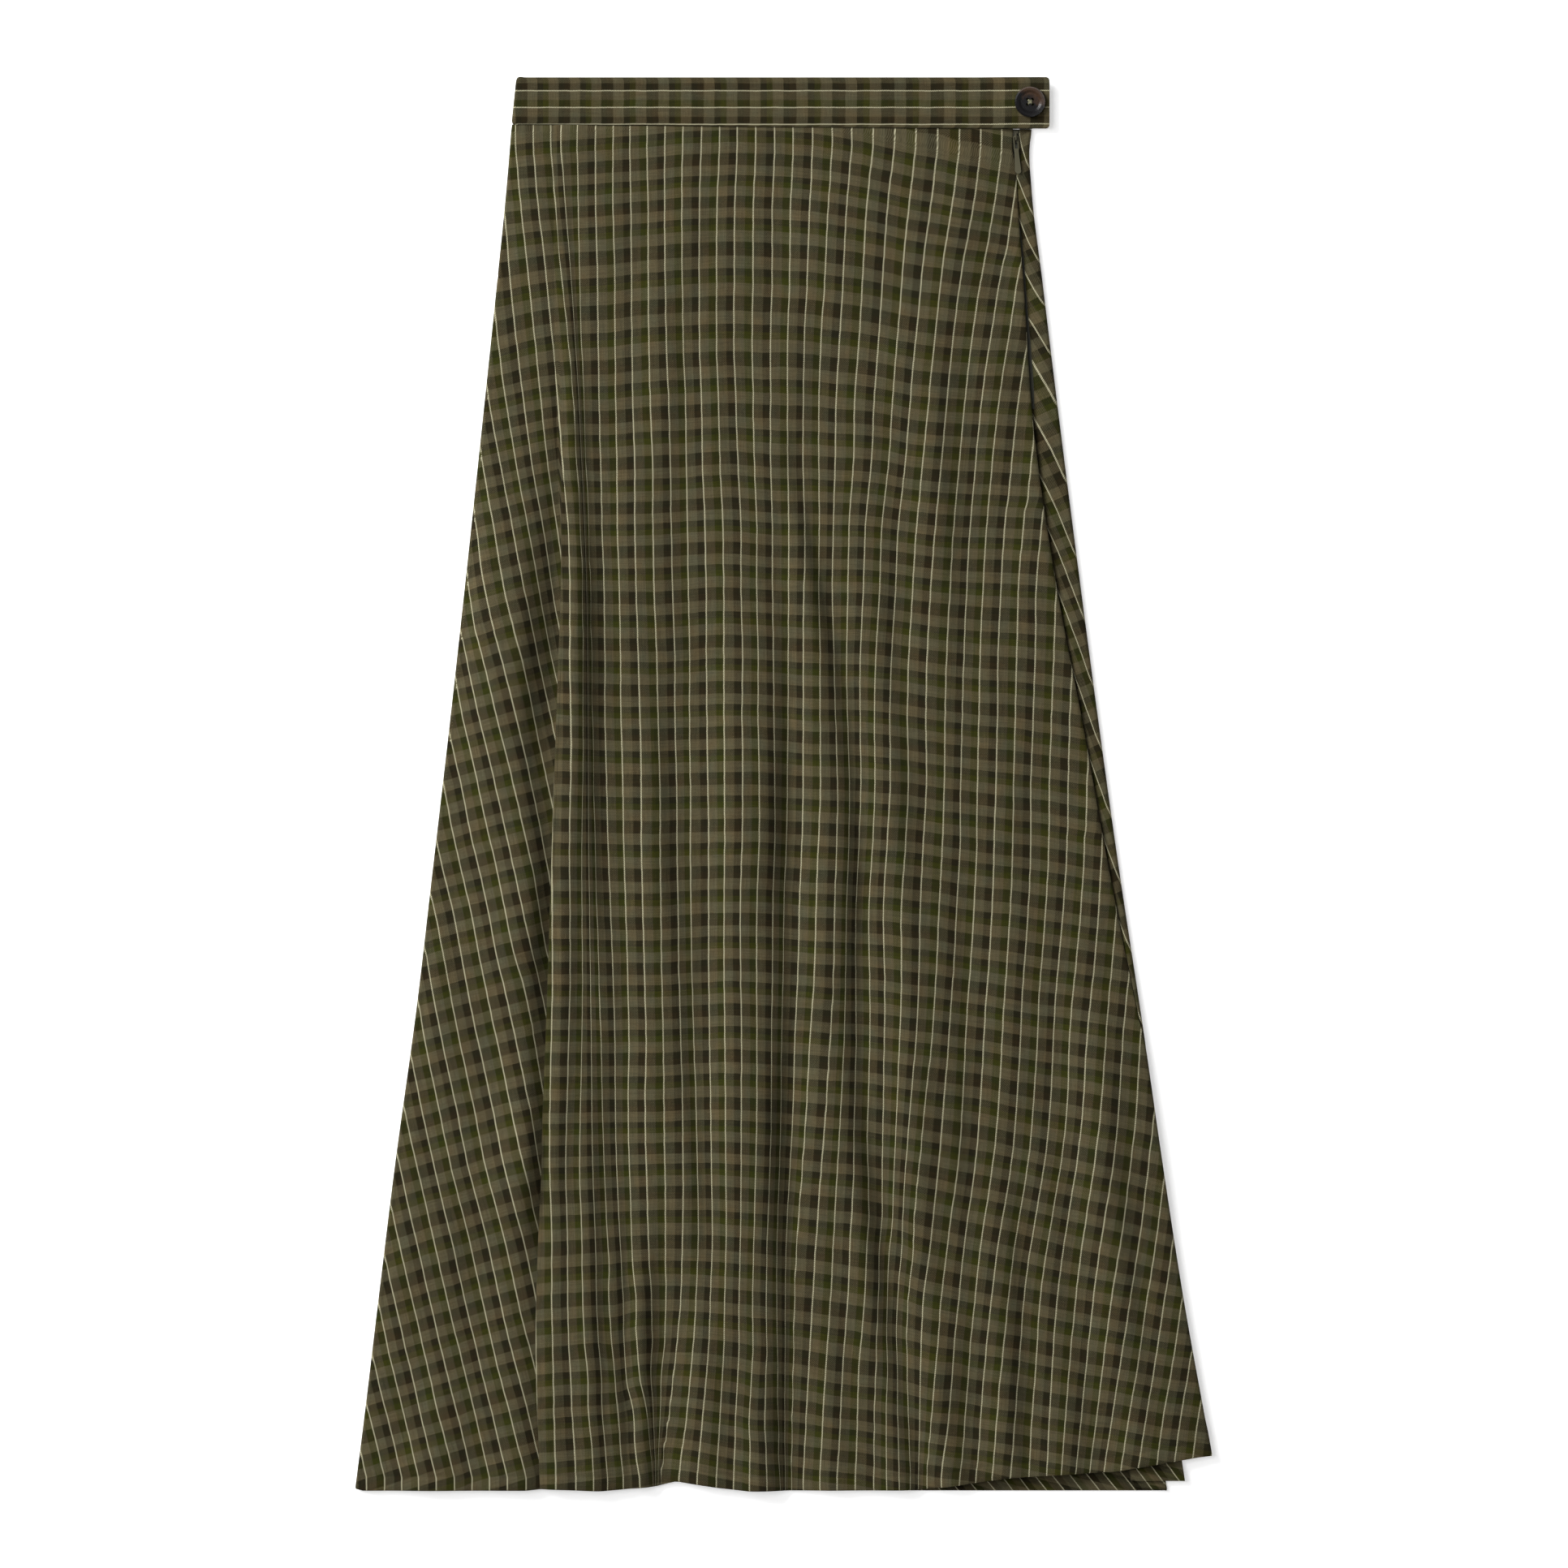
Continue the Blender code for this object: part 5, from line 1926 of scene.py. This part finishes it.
@dataclass(frozen=True)
class LacqueredMetal:
    """Olive lacquer on metal, worn to a paler edge."""

    lacquer: tuple = (0.034, 0.031, 0.018)
    worn: tuple = (0.13, 0.12, 0.07)
    metallic: float = 0.1
    specular: float = 0.25
    cloud_scale: float = 900.0
    worn_edges: tuple = (0.52, 0.62, 0.0, 0.8)
    roughness: tuple = (0.3, 0.7, 0.58, 0.76)
    bump: tuple = (0.25, 0.05)

    def group(self) -> bpy.types.NodeTree:
        """The shader node group of the worn lacquer, built once.

        Returns:
            The group. Its inputs are Place, Edges, Lacquer and Worn, and its outputs are
            Colour, Roughness and Height.
        """
        name = "Worn lacquer"
        if name in bpy.data.node_groups:
            return bpy.data.node_groups[name]
        inputs = {"Place": "vector", "Edges": "value", "Lacquer": "colour", "Worn": "colour"}
        group = Group(name, inputs, FINISH_OUTPUTS)
        graph = group.graph
        cloud = graph.noise(group.inputs["Place"], self.cloud_scale, 3.0)
        wear = graph.times(graph.span(group.inputs["Edges"], *self.worn_edges), cloud)
        colour = graph.mix(wear, group.inputs["Lacquer"], group.inputs["Worn"])
        rough = graph.span(cloud, *self.roughness)
        group.give({"Colour": colour, "Roughness": rough, "Height": cloud})
        return group.tree

    def material(self, name: str) -> bpy.types.Material:
        """The metal's material.

        Args:
            name: The material's name.

        Returns:
            The material.
        """
        material, graph, shader = new_material(name)
        values = {
            "Place": graph.node("ShaderNodeTexCoord").outputs["Object"],
            "Edges": graph.node("ShaderNodeNewGeometry").outputs["Pointiness"],
            "Lacquer": (*self.lacquer, 1.0),
            "Worn": (*self.worn, 1.0),
        }
        finish = graph.use(self.group(), values)
        graph.dress(shader, finish, self.bump)
        set_inputs(shader, {"Metallic": self.metallic, "Specular IOR Level": self.specular})
        return material


@dataclass(frozen=True)
class PolishedHorn:
    """Dark horn-effect resin with a brown cloud on one side."""

    dark: tuple = (0.004, 0.0036, 0.0042, 1.0)
    brown: tuple = (0.050, 0.027, 0.013, 1.0)
    deep_brown: tuple = (0.030, 0.014, 0.008, 1.0)
    slope: tuple = (62.0, 110.0)
    cloud_scale: float = 210.0
    cloud_reach: tuple = (0.3, 0.7, -0.35, 0.35)
    cloud_edge: tuple = (0.12, 0.6, 0.0, 1.0)
    grain_length: float = 4.0
    grain_scale: float = 700.0
    roughness: tuple = (0.3, 0.7, 0.22, 0.34)
    specular: float = 0.35
    coat: float = 0.12
    coat_roughness: float = 0.12
    bump: tuple = (0.12, 0.05)

    def material(self, name: str, centre: tuple) -> bpy.types.Material:
        """The button's material.

        Args:
            name: The material's name.
            centre: The button's middle, in metres.

        Returns:
            The material.
        """
        material, graph, shader = new_material(name)
        place = graph.node("ShaderNodeTexCoord").outputs["Object"]
        x, y = graph.split(graph.combine("SUBTRACT", place, centre))
        cloud = graph.noise(place, self.cloud_scale, 4.0)
        slant = graph.plus(graph.times(x, self.slope[0]), graph.times(y, self.slope[1]))
        slant = graph.plus(slant, graph.span(cloud, *self.cloud_reach))
        share = graph.span(slant, *self.cloud_edge)
        along = graph.vector(graph.times(x, self.grain_length), y)
        grain = graph.noise(along, self.grain_scale, 3.0)
        brown = graph.mix(grain, self.brown, self.deep_brown)
        graph.put(graph.mix(share, self.dark, brown), shader.inputs["Base Color"])
        graph.put(graph.span(grain, *self.roughness), shader.inputs["Roughness"])
        set_inputs(
            shader,
            {
                "Specular IOR Level": self.specular,
                "Coat Weight": self.coat,
                "Coat Roughness": self.coat_roughness,
            },
        )
        graph.bump(grain, *self.bump, shader)
        return material


@dataclass(frozen=True)
class Yarn:
    """Spun thread or woven tape of one colour."""

    colour: tuple
    deep_share: float = 0.55
    roughness: tuple = (0.0, 1.0, 0.8, 0.65)
    scale: float = 2600.0
    distortion: float = 1.5
    bump: tuple = (0.4, 0.05)

    def group(self) -> bpy.types.NodeTree:
        """The shader node group of the spun yarn, built once.

        Returns:
            The group. Its inputs are Place, Deep and Light, and its outputs are Colour,
            Roughness and Height.
        """
        name = "Spun yarn"
        if name in bpy.data.node_groups:
            return bpy.data.node_groups[name]
        inputs = {"Place": "vector", "Deep": "colour", "Light": "colour"}
        group = Group(name, inputs, FINISH_OUTPUTS)
        graph = group.graph
        wave = graph.node("ShaderNodeTexWave", bands_direction="DIAGONAL")
        graph.put(group.inputs["Place"], wave.inputs["Vector"])
        set_inputs(wave, {"Scale": self.scale, "Distortion": self.distortion})
        twist = wave.outputs["Fac"]
        colour = graph.mix(twist, group.inputs["Deep"], group.inputs["Light"])
        rough = graph.span(twist, *self.roughness)
        group.give({"Colour": colour, "Roughness": rough, "Height": twist})
        return group.tree

    def material(self, name: str) -> bpy.types.Material:
        """The thread's material.

        Args:
            name: The material's name.

        Returns:
            The material.
        """
        material, graph, shader = new_material(name)
        values = {
            "Place": graph.node("ShaderNodeTexCoord").outputs["Object"],
            "Deep": (*(self.deep_share * value for value in self.colour), 1.0),
            "Light": (*self.colour, 1.0),
        }
        finish = graph.use(self.group(), values)
        graph.dress(shader, finish, self.bump)
        return material


class Lamp(NamedTuple):
    """A soft square light that faces the skirt: its place and side in metres, and its watts."""

    name: str
    place: tuple[float, float, float]
    side: float
    power: float


LAMPS = (
    Lamp("key_light", (-3.3, 2.3, 2.7), 2.2, 345.0),
    Lamp("top_light", (-1.7, 0.4, 4.2), 1.6, 64.0),
    Lamp("fill_light", (3.4, -1.0, 2.9), 2.0, 18.0),
)


@dataclass
class Studio:
    """The pale floor, the soft lights and the camera straight above."""

    frame_width: float = 0.92736
    camera_height: float = 6.0
    sensor: float = 36.0
    clip_end: float = 100.0
    target: tuple = (0.0, 0.0, 0.004)
    floor_reach: float = 4000.0
    floor_level: float = -0.3
    floor_shades: tuple = ((0.96, 0.96, 0.96, 1.0), (0.98, 0.98, 0.98, 1.0))
    floor_cloud: float = 3.0
    floor_glow: float = 0.45
    floor_roughness: float = 0.9
    floor_specular: float = 0.1
    white: tuple = (1.0, 1.0, 1.0, 1.0)
    air_strength: float = 0.18

    def floor(self) -> None:
        """Lays the pale floor, which isn't part of the skirt."""
        reach = self.floor_reach
        corners = ((-reach, -reach), (reach, -reach), (reach, reach), (-reach, reach))
        points = np.array([(*corner, self.floor_level) for corner in corners])
        obj = Mesh.add("studio_floor", points, [(0, 1, 2, 3)])
        material, graph, shader = new_material("studio_white")
        place = graph.node("ShaderNodeTexCoord").outputs["Object"]
        shade = graph.mix(graph.noise(place, self.floor_cloud), *self.floor_shades)
        graph.put(shade, shader.inputs["Base Color"])
        set_inputs(
            shader,
            {
                "Roughness": self.floor_roughness,
                "Specular IOR Level": self.floor_specular,
                "Emission Color": self.white,
                "Emission Strength": self.floor_glow,
            },
        )
        obj.data.materials.append(material)

    def light(self, lamp: Lamp) -> None:
        """Adds a light that the camera doesn't see.

        Args:
            lamp: What it is like.
        """
        data = bpy.data.lights.new(lamp.name, "AREA")
        data.shape = "SQUARE"
        data.size = lamp.side
        data.energy = lamp.power
        obj = bpy.data.objects.new(lamp.name, data)
        obj.location = lamp.place
        obj.rotation_mode = "QUATERNION"
        obj.rotation_quaternion = (-Vector(lamp.place)).to_track_quat("-Z", "Y")
        obj.visible_camera = False
        bpy.context.scene.collection.objects.link(obj)

    def camera(self) -> None:
        """Hangs the camera straight above the skirt."""
        data = bpy.data.cameras.new("top_camera")
        data.sensor_width = self.sensor
        data.lens = self.sensor * (self.camera_height - self.target[2]) / self.frame_width
        data.clip_end = self.clip_end
        camera = bpy.data.objects.new("top_camera", data)
        camera.location = (self.target[0], self.target[1], self.camera_height)
        bpy.context.scene.collection.objects.link(camera)
        bpy.context.scene.camera = camera

    def build(self) -> None:
        """Sets up the floor, lights, surroundings and camera."""
        self.floor()
        for lamp in LAMPS:
            self.light(lamp)
        world = bpy.data.worlds.new("studio_air")
        world.use_nodes = True
        air = {"Color": self.white, "Strength": self.air_strength}
        set_inputs(world.node_tree.nodes["Background"], air)
        bpy.context.scene.world = world
        bpy.context.scene.view_settings.view_transform = "Standard"
        self.camera()
        LOG.info("studio: %d lights", len(LAMPS))


@dataclass
class ButtonThread:
    """The crossed threads that hold the button, seen in its holes."""

    centre: tuple
    ring: float = 1.8
    radius: float = 0.24
    top: float = 2.6
    pairs: int = 2
    pair_rise: float = 0.35
    beside: float = 0.3
    rings: int = 13
    sides: int = 8
    level_share: float = 0.72
    fall: float = 7.6

    def strand(self, pair: int, shift: float) -> list[tuple[float, float, float]]:
        """Works out the points of one thread between two holes.

        Args:
            pair: Which pair of holes it joins.
            shift: How far it lies beside their middle line.

        Returns:
            Its points, ring by ring.
        """
        turn = math.pi / 4 + pair * math.pi / 2
        direction = np.array([math.cos(turn), math.sin(turn)])
        beside = np.array([-direction[1], direction[0]])
        points = []
        for step in np.linspace(-1.0, 1.0, self.rings):
            lowered = self.fall * max(abs(step) - self.level_share, 0.0)
            height = self.top + pair * self.pair_rise - lowered
            middle = direction * self.ring * step + beside * shift
            for side in range(self.sides):
                angle = 2 * math.pi * side / self.sides
                out = beside * math.copysign(self.radius, shift) * math.cos(angle)
                points.append((*(middle + out), height + math.sin(angle) * self.radius))
        return points

    def faces(self, start: int) -> list[tuple[int, ...]]:
        """Works out the faces of one thread.

        Args:
            start: The number of its first point.

        Returns:
            Its sides and its two ends.
        """
        faces = []
        for ring in range(self.rings - 1):
            for side in range(self.sides):
                a = start + ring * self.sides + side
                b = start + ring * self.sides + (side + 1) % self.sides
                faces.append((a, a + self.sides, b + self.sides, b))
        last = start + (self.rings - 1) * self.sides
        faces.append(tuple(range(start, start + self.sides)))
        faces.append(tuple(range(last + self.sides - 1, last - 1, -1)))
        return faces

    def build(self, material: bpy.types.Material) -> bpy.types.Object:
        """Makes the threads as short round bars between the holes.

        Args:
            material: Their finish.

        Returns:
            The object.
        """
        points = []
        faces = []
        for pair in range(self.pairs):
            for shift in (-self.beside, self.beside):
                faces += self.faces(len(points))
                points += self.strand(pair, shift)
        obj = Mesh.add("button_thread", np.array(points) + np.array(self.centre), faces)
        return ride(obj, material)


@dataclass
class Hardware:
    """The zip, its slider and pull, and the button with its thread."""

    frame: dict
    pull_lacquer: tuple = (0.062, 0.057, 0.032)
    pull_worn: tuple = (0.15, 0.14, 0.085)
    tape_colour: tuple = (0.028, 0.028, 0.016)
    thread_colour: tuple = (0.26, 0.25, 0.15)

    def dress(self) -> None:
        """Gives each CAD piece its finish and sews the button on."""
        low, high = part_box("button")
        middle = (low + high) / 2
        pull = LacqueredMetal(self.pull_lacquer, self.pull_worn)
        finishes = {
            "zip_slider": LacqueredMetal().material("slider_lacquer"),
            "pull_tab": pull.material("pull_lacquer"),
            "zip_tape": Yarn(self.tape_colour).material("tape_weave"),
            "button": PolishedHorn().material("horn", (middle.x, middle.y, high.z)),
        }
        for node, material in finishes.items():
            slots = self.frame["nodes"][node].data.materials
            slots.clear()
            slots.append(material)
            LOG.info("%s: %s", node, material.name)
        centre = (middle.x / MM, middle.y / MM, low.z / MM)
        ButtonThread(centre).build(Yarn(self.thread_colour).material("button_thread"))


def main() -> None:
    """Builds the skirt's looks in order."""
    logging.basicConfig(level=logging.INFO, format="%(message)s")
    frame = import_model()
    cloth = CheckTwill()
    check = cloth.material("check_cloth_twill")
    Panel(Side.BACK, flat_size=(0.525, 0.81), flat_area=0.325).place(check, ["studio_floor"])
    Panel(Side.FRONT, flat_size=(0.61, 0.81), flat_area=0.36).place(check, ["back_shell"])
    Waistband().place(cloth.material("band_cloth_twill"))
    Hardware(frame).dress()
    Studio().build()


if __name__ == "__main__":
    main()
